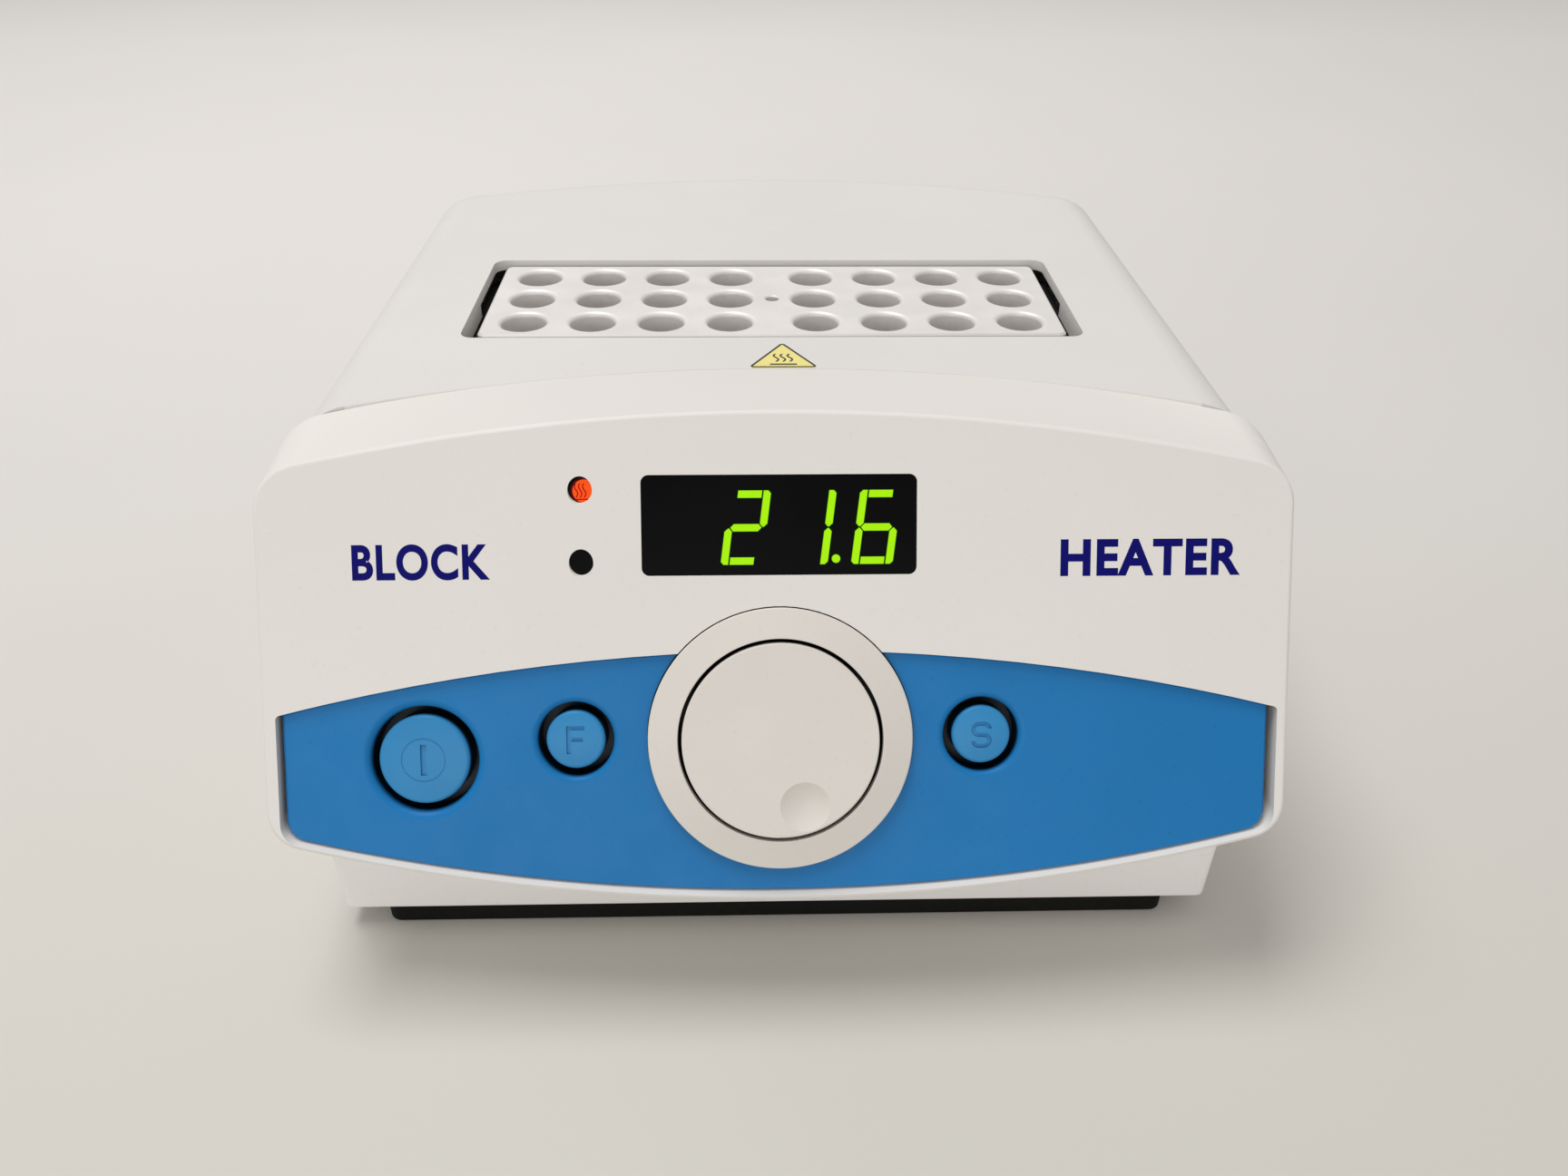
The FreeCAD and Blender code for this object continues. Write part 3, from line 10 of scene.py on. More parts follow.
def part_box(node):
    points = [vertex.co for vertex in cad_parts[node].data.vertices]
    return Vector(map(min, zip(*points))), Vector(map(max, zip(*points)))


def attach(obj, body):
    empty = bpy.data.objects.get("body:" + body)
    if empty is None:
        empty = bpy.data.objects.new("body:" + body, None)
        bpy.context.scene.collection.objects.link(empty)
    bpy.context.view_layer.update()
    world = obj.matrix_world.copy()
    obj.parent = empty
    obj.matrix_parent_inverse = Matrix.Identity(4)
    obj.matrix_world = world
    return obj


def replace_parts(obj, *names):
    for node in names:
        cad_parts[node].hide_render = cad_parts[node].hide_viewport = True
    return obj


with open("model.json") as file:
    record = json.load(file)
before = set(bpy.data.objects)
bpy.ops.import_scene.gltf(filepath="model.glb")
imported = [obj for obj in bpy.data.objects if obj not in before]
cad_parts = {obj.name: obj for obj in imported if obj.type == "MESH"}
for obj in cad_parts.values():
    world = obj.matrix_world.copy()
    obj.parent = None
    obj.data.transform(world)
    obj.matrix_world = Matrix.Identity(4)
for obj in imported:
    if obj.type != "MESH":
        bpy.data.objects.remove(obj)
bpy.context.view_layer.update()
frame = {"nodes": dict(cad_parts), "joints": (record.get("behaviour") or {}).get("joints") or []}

# The looks of the dry block heater. Everything is in metres, and MM is one millimetre.
MM = 0.001
X_AXIS = Vector((1, 0, 0))

# ---------------------------------------------------------------- the sloping face, read from the frame
FACE_NORMAL = Vector(next(j["axis"] for j in frame["joints"] if j["name"] == "knob_spin")).normalized()
UP_SLOPE = FACE_NORMAL.cross(X_AXIS)


def span(node, direction):
    """Lowest and highest reach of a CAD node along a direction."""
    mesh = frame["nodes"][node].data
    points = np.empty(len(mesh.vertices) * 3, np.float32)
    mesh.vertices.foreach_get("co", points)
    reach = points.reshape(-1, 3) @ np.array(direction, np.float32)
    return float(reach.min()), float(reach.max())


FACE_LEVEL = span("front_fascia", FACE_NORMAL)[1]
WINDOW_FRONT = span("display_window", FACE_NORMAL)[1] - FACE_LEVEL
WINDOW_V = sum(span("display_window", UP_SLOPE)) / 2


def face_frame(x, v, w):
    """Matrix with X across, Y up the slope and Z out of the face.

    Its origin is x from the object's middle plane, v up the slope from the middle of the display
    window, and w out from the outermost level of the white face.
    """
    origin = X_AXIS * x + UP_SLOPE * (WINDOW_V + v) + FACE_NORMAL * (FACE_LEVEL + w)
    return Matrix.Translation(origin) @ Matrix((X_AXIS, UP_SLOPE, FACE_NORMAL)).transposed().to_4x4()


# ---------------------------------------------------------------- materials
# The colour sockets of a Mix node: its two inputs and its result.
MIX_FIRST, MIX_SECOND, MIX_RESULT = 6, 7, 2
# Noise lies mostly between low and high, and a speck fades in as it rises from one dot level to the next.
NOISE_LOW, NOISE_HIGH = 0.3, 0.7
DOT_LOW, DOT_HIGH = 0.68, 0.76


def srgb(red, green, blue):
    """Colour from 0-255 display values to linear."""
    def linear(c):
        c = c / 255
        return c / 12.92 if c <= 0.04045 else ((c + 0.055) / 1.055) ** 2.4
    return (linear(red), linear(green), linear(blue), 1.0)


def shaded(colour, share):
    """A colour with its brightness multiplied by a share."""
    return tuple(c * share for c in colour[:3]) + (1.0,)


class Finish:
    """A Principled material and the nodes that give it its detail."""

    def __init__(self, name, colour, rough, metallic=0.0, specular=0.5):
        self.material = bpy.data.materials.new(name)
        self.material.use_nodes = True
        self.tree = self.material.node_tree
        self.shader = self.tree.nodes["Principled BSDF"]
        self.colour = colour
        self.rough = rough
        self.set(Base_Color=colour, Roughness=rough, Metallic=metallic, Specular_IOR_Level=specular)
        self.place = self.node("ShaderNodeTexCoord").outputs["Object"]

    def node(self, kind, **values):
        """A new node with some of its settings."""
        made = self.tree.nodes.new(kind)
        for key, value in values.items():
            setattr(made, key, value)
        return made

    def link(self, output, target):
        self.tree.links.new(output, target)

    def set(self, **values):
        """Numbers and colours on the shader's own sockets, with _ for a space in a socket's name."""
        for key, value in values.items():
            self.shader.inputs[key.replace("_", " ")].default_value = value
        return self

    def noise(self, scale, detail, stretch=None):
        """Noise over the object's own coordinates; stretch squeezes it along each axis."""
        made = self.node("ShaderNodeTexNoise")
        made.inputs["Scale"].default_value = scale
        made.inputs["Detail"].default_value = detail
        place = self.place
        if stretch:
            mapping = self.node("ShaderNodeMapping")
            mapping.inputs["Scale"].default_value = stretch
            self.link(place, mapping.inputs["Vector"])
            place = mapping.outputs["Vector"]
        self.link(place, made.inputs["Vector"])
        return made.outputs["Fac"]

    def ranged(self, value, low, high, from_low=NOISE_LOW, from_high=NOISE_HIGH):
        """A value moved from one range into another, and held within it."""
        made = self.node("ShaderNodeMapRange")
        self.link(value, made.inputs["Value"])
        limits = {"From Min": from_low, "From Max": from_high, "To Min": low, "To Max": high}
        for key, number in limits.items():
            made.inputs[key].default_value = number
        return made.outputs["Result"]

    def mixed(self, factor, first, second):
        """From the first colour to the second as the factor rises; each is a tuple or a node's output."""
        made = self.node("ShaderNodeMix", data_type="RGBA")
        self.link(factor, made.inputs["Factor"])
        for socket, colour in ((MIX_FIRST, first), (MIX_SECOND, second)):
            if isinstance(colour, tuple):
                made.inputs[socket].default_value = colour
            else:
                self.link(colour, made.inputs[socket])
        return made.outputs[MIX_RESULT]

    def mottle(self, scale, amount, speck=0.0, speck_scale=900.0):
        """Slow drift of the colour, and if wanted fine darker specks."""
        tone = self.ranged(self.noise(scale, 4.0), 0.0, 1.0)
        darker = shaded(self.colour, 1 - amount)
        lighter = shaded(self.colour, 1 + amount * 0.5)
        result = self.mixed(tone, darker, lighter)
        if speck:
            dots = self.ranged(self.noise(speck_scale, 1.0), 0.0, 1.0, DOT_LOW, DOT_HIGH)
            result = self.mixed(dots, result, shaded(self.colour, 1 - speck))
        self.link(result, self.shader.inputs["Base Color"])
        return self

    def painted_shade_inward(self, level, depth, share=0.06):
        """Painted shade: darkens the colour with distance behind the sloping face, as the shade deep in
        gaps and recesses.

        It is full down to a level behind the face, and sinks to a share of itself over a depth below
        that. A level below zero lies in front of the face.
        """
        along = self.node("ShaderNodeVectorMath", operation="DOT_PRODUCT")
        self.link(self.place, along.inputs[0])
        along.inputs[1].default_value = FACE_NORMAL
        start = FACE_LEVEL - level
        depth_share = self.ranged(along.outputs["Value"], 1.0, 0.0, start - depth, start)
        target = self.shader.inputs["Base Color"]
        result = self.mixed(depth_share, target.links[0].from_socket, shaded(self.colour, share))
        self.link(result, target)
        return self

    def gloss(self, scale, amount, stretch=None):
        """Roughness that wanders about its mean."""
        drift = self.noise(scale, 3.0, stretch)
        wander = self.ranged(drift, self.rough - amount, self.rough + amount)
        self.link(wander, self.shader.inputs["Roughness"])
        return self

    def grain(self, size=0.35 * MM, depth=0.01 * MM, strength=0.5, stretch=None, detail=2.0):
        """Moulded or machined grain, as bump."""
        bump = self.node("ShaderNodeBump")
        bump.inputs["Strength"].default_value = strength
        bump.inputs["Distance"].default_value = depth
        self.link(self.noise(1 / size, detail, stretch), bump.inputs["Height"])
        self.link(bump.outputs["Normal"], self.shader.inputs["Normal"])
        return self

    def glow(self, colour, strength):
        """Light of its own."""
        self.set(Emission_Color=colour, Emission_Strength=strength)
        return self


def case_plastic():
    finish = Finish("case_plastic", srgb(220, 217, 214), 0.5, specular=0.3)
    return finish.mottle(14, 0.025, 0.05).gloss(90, 0.05).grain()


# Painted light: the cover's plastic made whiter, to make up for the shade on the tray's front under the
# face.
def tray_plastic_painted_light():
    finish = Finish("tray_plastic_painted_light", srgb(236, 233, 230), 0.5, specular=0.3)
    return finish.mottle(14, 0.025, 0.05).gloss(90, 0.05).grain()


def face_plastic():
    finish = Finish("face_plastic", srgb(226, 222, 217), 0.5, specular=0.22)
    return finish.mottle(12, 0.02, 0.04).gloss(80, 0.05).grain()


def dial_plastic(top):
    """White of the dial and its ring, with painted shade that darkens it to black below a height over the
    face, for the shadowed gap between them.
    """
    finish = Finish("dial_plastic", srgb(217, 211, 204), 0.46, specular=0.4)
    finish.mottle(30, 0.025, 0.05).painted_shade_inward(-top, 0.8 * MM, 0.03)
    return finish.gloss(110, 0.05).grain()


def panel_blue():
    finish = Finish("panel_blue", srgb(28, 116, 179), 0.42, specular=0.15)
    # Painted shade: the blue sinks to near black deep behind the face, in the gaps round the panel's edges
    # and the button holes.
    finish.mottle(18, 0.06, 0.10).painted_shade_inward(1.7 * MM, 1.5 * MM)
    return finish.gloss(120, 0.05).grain(0.3 * MM, 0.012 * MM)


def button_blue():
    finish = Finish("button_blue", srgb(52, 135, 190), 0.4, specular=0.2)
    # Painted shade: the caps' sides sink to near black below this depth, in the narrow gaps round the
    # buttons.
    finish.mottle(60, 0.05, 0.08).painted_shade_inward(1.7 * MM, 1.3 * MM)
    return finish.gloss(200, 0.05).grain(0.3 * MM, 0.010 * MM)


def window_black():
    finish = Finish("window_black", srgb(6, 6, 7), 0.3, specular=0.05)
    return finish.mottle(40, 0.2).gloss(45, 0.06).grain(2.0 * MM, 0.004 * MM, 0.3)


# Black plate under the tray; its near-black also serves as painted shade for the gap under the tray's
# front.
def plate_black():
    finish = Finish("plate_black", srgb(17, 18, 16), 0.62, specular=0.12)
    return finish.mottle(60, 0.15, 0.2).gloss(120, 0.08).grain(0.4 * MM, 0.03 * MM)


def lens_dark():
    finish = Finish("lens_dark", srgb(5, 5, 6), 0.3, specular=0.05)
    return finish.mottle(400, 0.2).gloss(300, 0.05).grain(1.0 * MM, 0.004 * MM)


def glowing(name, colour):
    """Lit part: its own light gives the colour, and hardly any is reflected."""
    finish = Finish(name, shaded(colour, 0.15), 0.4, specular=0.05)
    finish.mottle(700, 0.12).gloss(300, 0.05).grain(0.6 * MM, 0.004 * MM)
    return finish.glow(colour, 0.92)


def lens_orange():
    return glowing("lens_orange", srgb(246, 84, 24))


def block_aluminium():
    finish = Finish("block_aluminium", srgb(233, 229, 226), 0.5, metallic=0.25)
    return finish.mottle(45, 0.05, 0.10, 1400).gloss(140, 0.08).grain(0.45 * MM, 0.02 * MM, 0.6)


def well_aluminium():
    finish = Finish("well_aluminium", srgb(150, 150, 150), 0.5, metallic=0.9)
    return finish.mottle(60, 0.12, 0.15).gloss(120, 0.1).grain(0.9 * MM, 0.05 * MM, 0.7)


def brushed(name, colour, rough):
    """Metal with fine lines across the Z axis."""
    finish = Finish(name, colour, rough, metallic=1.0)
    finish.mottle(80, 0.12).gloss(150, 0.08, (1, 1, 9))
    return finish.grain(0.2 * MM, 0.01 * MM, 0.5, (1, 1, 9))


def zinc_steel():
    finish = Finish("zinc_steel", srgb(176, 178, 176), 0.34, metallic=1.0)
    return finish.mottle(220, 0.14).gloss(260, 0.1).grain(0.5 * MM, 0.012 * MM)


def moulded(name, colour, rough, amount=0.08, size=0.4 * MM):
    """Moulded plastic or rubber of the parts inside."""
    finish = Finish(name, colour, rough)
    return finish.mottle(70, amount, 0.12).gloss(120, 0.07).grain(size, 0.02 * MM)


def circuit_board():
    """Green solder mask over a faint weave of glass cloth."""
    finish = Finish("circuit_board", srgb(24, 92, 58), 0.32)
    finish.mottle(160, 0.22, 0.2, 500).gloss(90, 0.06)
    return finish.grain(0.8 * MM, 0.02 * MM, 0.5, (1, 4, 1))


def transformer_core():
    finish = Finish("transformer_core", srgb(94, 88, 82), 0.55, metallic=0.6)
    finish.mottle(120, 0.2).gloss(160, 0.1)
    return finish.grain(0.5 * MM, 0.08 * MM, 0.8, (0.2, 6, 0.2))


def insulation_foam():
    finish = Finish("insulation_foam", srgb(214, 208, 190), 0.9, specular=0.2)
    finish.mottle(90, 0.14, 0.2, 700).gloss(80, 0.05)
    return finish.grain(1.2 * MM, 0.35 * MM, 0.9, detail=5.0)


def foot_rubber():
    finish = Finish("foot_rubber", srgb(26, 26, 27), 0.78, specular=0.3)
    return finish.mottle(90, 0.25, 0.2).gloss(90, 0.08).grain(0.6 * MM, 0.03 * MM)


def fuse_glass():
    finish = Finish("fuse_glass", srgb(214, 218, 214), 0.12).set(Transmission_Weight=0.6)
    return finish.mottle(300, 0.08).gloss(200, 0.05).grain(1.0 * MM, 0.004 * MM)


def label_yellow():
    finish = Finish("label_yellow", srgb(236, 223, 138), 0.45)
    return finish.mottle(120, 0.05, 0.06).gloss(150, 0.06).grain()


def label_silver():
    finish = Finish("label_silver", srgb(188, 190, 190), 0.38, metallic=0.5)
    return finish.mottle(90, 0.06).gloss(140, 0.06).grain(0.25 * MM, 0.006 * MM, 0.4, (1, 8, 1))


# Each material's maker, and the CAD nodes that wear it.
FINISHES = {
    case_plastic: ["top_cover"],
    tray_plastic_painted_light: ["base_tray"],
    face_plastic: ["front_fascia"],
    panel_blue: ["control_panel"],
    button_blue: ["power_button", "f_button", "s_button"],
    # The dial's ring and knob carry painted shade below these heights over the face.
    lambda: dial_plastic(0.3 * MM): ["dial_bezel"],
    lambda: dial_plastic(1.05 * MM): ["control_knob"],
    window_black: ["display_window"],
    lens_orange: ["heat_indicator_lens"],
    lens_dark: ["timer_indicator_lens"],
    block_aluminium: ["tube_block"],
    well_aluminium: ["heater_well", "triac_heatsink"],
    zinc_steel: [
        "encoder_shaft", "rotary_encoder", "encoder_nut", "well_bracket", "clamp_plate", "bracket_screws",
        "display_board_screws", "board_screws", "inlet_screws", "inlet_nuts", "foot_screws", "case_screws",
        "fascia_screws"],
    circuit_board: ["display_board", "main_board"],
    transformer_core: ["transformer"],
    insulation_foam: ["well_insulation"],
    plate_black: ["bottom_plate"],
    foot_rubber: ["rubber_feet"],
    fuse_glass: ["fuses"],
    label_yellow: ["hot_surface_label"],
    label_silver: ["rating_label"],
    lambda: brushed("probe_steel", srgb(190, 190, 188), 0.25): ["temperature_sensor"],
    lambda: brushed("cutout_metal", srgb(182, 180, 172), 0.35): ["thermal_cutout"],
    lambda: brushed("pin_brass", srgb(206, 186, 132), 0.28): ["inlet_pins"],
    lambda: moulded("black_plastic", srgb(28, 28, 30), 0.42): [
        "display_socket", "power_switch", "f_switch", "s_switch", "controller_chip", "triac", "mains_inlet",
        "fuse_drawer", "well_gasket"],
    lambda: moulded("led_module", srgb(52, 52, 54), 0.5): ["led_display"],
    lambda: moulded("led_chip", srgb(232, 230, 210), 0.3): ["indicator_leds"],
    lambda: moulded("relay_plastic", srgb(30, 62, 120), 0.4): ["mains_relay"],
    lambda: moulded("terminal_plastic", srgb(48, 128, 74), 0.45): ["terminal_block"],
    lambda: moulded("capacitor_sleeve", srgb(34, 40, 66), 0.3): ["capacitors"],
    lambda: moulded("heater_silicone", srgb(178, 74, 44), 0.6, 0.1, 0.9 * MM): ["heater_mat"],
    lambda: moulded("lead_sleeve", srgb(196, 190, 178), 0.55): ["heater_leads", "mains_leads"],
    lambda: moulded("sensor_sleeve", srgb(206, 206, 204), 0.4): ["sensor_lead"],
    lambda: moulded("ribbon_grey", srgb(168, 168, 166), 0.5): ["ribbon_cable"],
}


def dress_nodes():
    """Gives every CAD node its material."""
    for make, nodes in FINISHES.items():
        material = make().material
        for name in nodes:
            slots = frame["nodes"][name].material_slots
            if not slots:
                frame["nodes"][name].data.materials.append(material)
            for slot in slots:
                slot.material = material


# ---------------------------------------------------------------- mesh helpers
CIRCLE_STEPS, OVAL_STEPS, CAP_STEPS, WAVE_STEPS = 48, 64, 8, 20
# A wave of steam starts at this share of a turn, and runs for the other.
WAVE_START, WAVE_TURN = 0.02, 0.92


def piece(name, mesh, material, body="heater_case"):
    """A new object of a mesh with a material, which rides on a body."""
    mesh.materials.append(material)
    made = bpy.data.objects.new(name, mesh)
    bpy.context.scene.collection.objects.link(made)
    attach(made, body)
    return made


def closed_mesh(name, bm, matrix):
    """The mesh of a closed form, in a frame, with its faces turned outwards."""
    bmesh.ops.recalc_face_normals(bm, faces=bm.faces)
    bm.transform(matrix)
    mesh = bpy.data.meshes.new(name)
    bm.to_mesh(mesh)
    bm.free()
    return mesh


def prism(outlines, height, matrix):
    """Mesh of flat outlines raised by a height, in a frame; outlines are lists of (x, y) in metres."""
    bm = bmesh.new()
    for points in outlines:
        lower = [bm.verts.new((x, y, 0.0)) for x, y in points]
        upper = [bm.verts.new((x, y, height)) for x, y in points]
        bm.faces.new(upper)
        bm.faces.new(list(reversed(lower)))
        for i in range(len(points)):
            j = (i + 1) % len(points)
            bm.faces.new((lower[i], lower[j], upper[j], upper[i]))
    return closed_mesh("prism", bm, matrix)


def ring(outer, inner, height, matrix):
    """Mesh of the band between two outlines with the same number of points."""
    bm = bmesh.new()
    rows = [[bm.verts.new((x, y, z)) for x, y in points]
            for points, z in ((outer, 0.0), (outer, height), (inner, height), (inner, 0.0))]
    for a, b in zip(rows, rows[1:] + rows[:1]):
        for i in range(len(a)):
            j = (i + 1) % len(a)
            bm.faces.new((a[i], a[j], b[j], b[i]))
    return closed_mesh("ring", bm, matrix)


def oval(half_width, half_height, count):
    """Outline of an oval or circle about the origin."""
    steps = [2 * math.pi * i / count for i in range(count)]
    return [(half_width * math.cos(t), half_height * math.sin(t)) for t in steps]


def stroke(points, width):
    """Outline of a line of constant width with round ends, along points."""
    line = [Vector(p) for p in points]
    left, right = [], []
    for i, p in enumerate(line):
        ahead = line[min(i + 1, len(line) - 1)] - line[max(i - 1, 0)]
        side = Vector((-ahead.y, ahead.x)).normalized() * width / 2
        left.append(tuple(p + side))
        right.append(tuple(p - side))

    def cap(centre, start):
        """Points of the half circle about an end, from just after start, anticlockwise."""
        arm = Vector(start) - centre
        points = []
        for k in range(1, CAP_STEPS):
            t = math.pi * k / CAP_STEPS
            across = arm.x * math.cos(t) - arm.y * math.sin(t)
            along = arm.x * math.sin(t) + arm.y * math.cos(t)
            points.append(tuple(centre + Vector((across, along))))
        return points

    return right + cap(line[-1], right[-1]) + list(reversed(left)) + cap(line[0], left[0])


def steam(x, y, height, sway, width):
    """Outline of one rising wave of steam, centred on x, y."""
    points = []
    for i in range(WAVE_STEPS + 1):
        t = i / WAVE_STEPS
        swing = math.sin(2 * math.pi * (WAVE_TURN * t + WAVE_START))
        points.append((x + sway * swing, y + height * (t - 0.5)))
    return stroke(points, width)


# ---------------------------------------------------------------- joint across the top
JOINT_GAP, LIP_DROP, LIP_DEEP = 0.2 * MM, 0.05 * MM, 1.0 * MM
# The cover's top is this much over the block, and its front edge at least so far before the block.
COVER_OVER_BLOCK, EDGE_BEFORE_BLOCK = 1.0 * MM, 8.0 * MM
# The edge's points lie at the top within this, and are told apart to a micrometre.
LEVEL_TOLERANCE, DECIMALS = 0.01 * MM, 6


def joint_lip():
    """Lip of the face moulding that closes the joint with the cover, along the cover's front edge."""
    mesh = frame["nodes"]["top_cover"].data
    block_low, block_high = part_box("tube_block")
    top = block_high.z + COVER_OVER_BLOCK
    behind = block_low.y - EDGE_BEFORE_BLOCK
    edge = sorted({(round(v.co.x, DECIMALS), round(v.co.y, DECIMALS)) for v in mesh.vertices
                   if abs(v.co.z - top) < LEVEL_TOLERANCE and v.co.y < behind})
    outline = edge + [(x, y - JOINT_GAP) for x, y in reversed(edge)]
    matrix = Matrix.Translation((0, 0, top - LIP_DROP - LIP_DEEP))
    lip = prism([outline], LIP_DEEP, matrix)
    piece("joint_lip", lip, face_plastic().material)


# ---------------------------------------------------------------- display digits
DIGIT_H, DIGIT_W = 14.2 * MM, 8.0 * MM
DIGIT_PITCH, DIGIT_DROP, DIGIT_SHIFT = 12.55 * MM, 0.5 * MM, -0.15 * MM
BAR_WIDE, BAR_TALL = 1.4 * MM, 1.38 * MM
BAR_GAP, BAR_TIP, BAR_CUT, BAR_SHOULDER = 0.32 * MM, 0.62 * MM, 0.55 * MM, 0.2 * MM
SLANT = math.tan(math.radians(7.3))
BAR_THICK, BAR_LIFT = 0.06 * MM, 0.03 * MM
# The halo reaches so far round a bar, and each one lies a step over the last, so that none coincide.
HALO, HALO_THICK, HALO_STEP = 0.09 * MM, 0.02 * MM, 0.002 * MM
POINT_RADIUS, POINT_RIGHT, POINT_RISE = 0.8 * MM, 4.75 * MM, 1.05 * MM
# The digits from left to right, and the lit bars of each.
DIGIT_BARS = {"2": "abged", "1": "bc", "6": "afgedc"}


def bar_outlines():
    """The seven bars of a digit before it is slanted, a to g, centred on the digit."""
    w, h, t, s, g = DIGIT_W / 2, DIGIT_H / 2, BAR_TALL, BAR_WIDE, BAR_GAP
    tip, cut = BAR_TIP, BAR_CUT
    top = [(-w + s + g, h), (w - s - g, h), (w - s - g, h - t), (-w + s + g, h - t)]
    right = [(w - s, h), (w - cut, h), (w, h - cut), (w, g / 2 + tip), (w - tip, g / 2),
             (w - tip - BAR_SHOULDER, g / 2), (w - s, g / 2 + tip)]
    middle = [(-w + s / 2 + g, 0), (-w + s / 2 + g + tip, t / 2), (w - s / 2 - g - tip, t / 2),
              (w - s / 2 - g, 0), (w - s / 2 - g - tip, -t / 2), (-w + s / 2 + g + tip, -t / 2)]

    def flip(points, x, y):
        """Bar mirrored across, up and down, or both."""
        return [(x * p[0], y * p[1]) for p in points]

    return {"a": top, "b": right, "c": flip(right, 1, -1), "d": flip(top, 1, -1), "e": flip(right, -1, -1),
            "f": flip(right, -1, 1), "g": middle}


def grown(points, amount):
    """An outline with each point pushed away from the middle by an amount, across and up."""
    middle = sum((Vector(p) for p in points), Vector((0, 0))) / len(points)
    result = []
    for p in points:
        away = Vector(p) - middle
        result.append((p[0] + math.copysign(amount, away.x), p[1] + math.copysign(amount, away.y)))
    return result


def slanted(points):
    """An outline leaning as the display's digits do."""
    return [(x + y * SLANT, y) for x, y in points]


def display_digits():
    """The lit bars and the decimal point, each with a dim halo behind it."""
    lit = glowing("digit_green", srgb(165, 235, 14)).material
    halo = glowing("digit_halo", srgb(14, 88, 8)).material
    bars = bar_outlines()

    def layer(outlines, thick, x, v, lift):
        return prism(outlines, thick, face_frame(x, v, WINDOW_FRONT + lift))

    for index, (name, keys) in enumerate(DIGIT_BARS.items()):
        x = DIGIT_SHIFT + (index - 0.5) * DIGIT_PITCH
        outlines = [slanted(bars[key]) for key in keys]
        piece(f"digit_{name}", layer(outlines, BAR_THICK, x, -DIGIT_DROP, BAR_LIFT), lit)
        for k, key in enumerate(keys):
            outline = slanted(grown(bars[key], HALO))
            mesh = layer([outline], HALO_THICK, x, -DIGIT_DROP, HALO_STEP * (k + 1))
            piece(f"digit_{name}_halo_{k}", mesh, halo)
    x = DIGIT_SHIFT + 0.5 * DIGIT_PITCH + POINT_RIGHT
    v = -DIGIT_DROP - DIGIT_H / 2 + POINT_RISE
    point = oval(POINT_RADIUS, POINT_RADIUS, CIRCLE_STEPS)
    around = oval(POINT_RADIUS + HALO, POINT_RADIUS + HALO, CIRCLE_STEPS)
    piece("digit_point", layer([point], BAR_THICK, x, v, BAR_LIFT), lit)
    piece("digit_point_halo", layer([around], HALO_THICK, x, v, HALO_STEP), halo)


# ---------------------------------------------------------------- indicators
HOLE_W, HOLE_H = 2.3 * MM, 2.62 * MM
INDICATOR_X, HEAT_V, TIMER_V = -38.0 * MM, 6.8 * MM, -7.1 * MM
# Place of the lowest layer behind the face, and the thickness of each.
LAMP_W, LAYER = -0.75 * MM, 0.05 * MM
# The lit disc is off the middle of its hole, with a red wall on its left.
LAMP_X, LAMP_Y, LAMP_RADIUS = 0.77 * MM, -0.12 * MM, 2.2 * MM
WALL_SHIFT, WALL_RADIUS = 0.1 * MM, 2.5 * MM
# The steam mark on the disc, from the disc's middle.
MARK_WAVES = (-1.5 * MM, -0.72 * MM, 0.06 * MM)
MARK_RISE, MARK_TALL, MARK_SWAY, MARK_STROKE = 0.12 * MM, 2.5 * MM, 0.3 * MM, 0.24 * MM
MARK_FOOT, MARK_LEFT, MARK_RIGHT = -1.58 * MM, -1.5 * MM, 1.05 * MM


def seen_disc(x, y, radius):
    """The part of a disc that shows through the oval hole."""
    points = []
    for ux, uy in oval(1.0, 1.0, OVAL_STEPS):
        a = (ux / HOLE_W) ** 2 + (uy / HOLE_H) ** 2
        b = x * ux / HOLE_W ** 2 + y * uy / HOLE_H ** 2
        c = (x / HOLE_W) ** 2 + (y / HOLE_H) ** 2 - 1
        reach = min(radius, (-b + math.sqrt(b * b - a * c)) / a)
        points.append((x + ux * reach, y + uy * reach))
    return points


def lamp_layer(name, outline, level, v, material):
    """One layer in an indicator's hole, counted from the lowest."""
    mesh = prism([outline], LAYER, face_frame(INDICATOR_X, v, LAMP_W + level * LAYER))
    return piece(name, mesh, material)


def indicators():
    """The dark lower lamp and the lit upper one, whose lowest layers stand for the two lens nodes."""
    dark = lens_dark().material
    red = glowing("lamp_wall", srgb(78, 4, 10)).material
    ink = glowing("lamp_ink", srgb(172, 14, 6)).material
    hole = oval(HOLE_W, HOLE_H, OVAL_STEPS)
    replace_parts(lamp_layer("timer_lamp", hole, 0, TIMER_V, dark), "timer_indicator_lens")
    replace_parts(lamp_layer("heat_lamp_cup", hole, 0, HEAT_V, dark), "heat_indicator_lens")
    lamp_layer("heat_lamp_wall", seen_disc(LAMP_X - WALL_SHIFT, LAMP_Y, WALL_RADIUS), 1, HEAT_V, red)
    disc = seen_disc(LAMP_X, LAMP_Y, LAMP_RADIUS)
    lamp_layer("heat_lamp", disc, 2, HEAT_V, lens_orange().material)
    for i, dx in enumerate(MARK_WAVES):
        wave = steam(LAMP_X + dx, LAMP_Y + MARK_RISE, MARK_TALL, MARK_SWAY, MARK_STROKE)
        lamp_layer(f"heat_lamp_wave_{i}", wave, 3, HEAT_V, ink)
    foot = [(LAMP_X + end, LAMP_Y + MARK_FOOT) for end in (MARK_LEFT, MARK_RIGHT)]
    lamp_layer("heat_lamp_line", stroke(foot, MARK_STROKE), 3, HEAT_V, ink)


# ---------------------------------------------------------------- hot surface label artwork
LABEL_BORDER, LABEL_CORNER = 0.5 * MM, 0.7 * MM
# A corner's arc, in degrees, and the steps it is drawn in.
CORNER_TURN, CORNER_STEPS = 120, 8
INK_THICK = 0.03 * MM
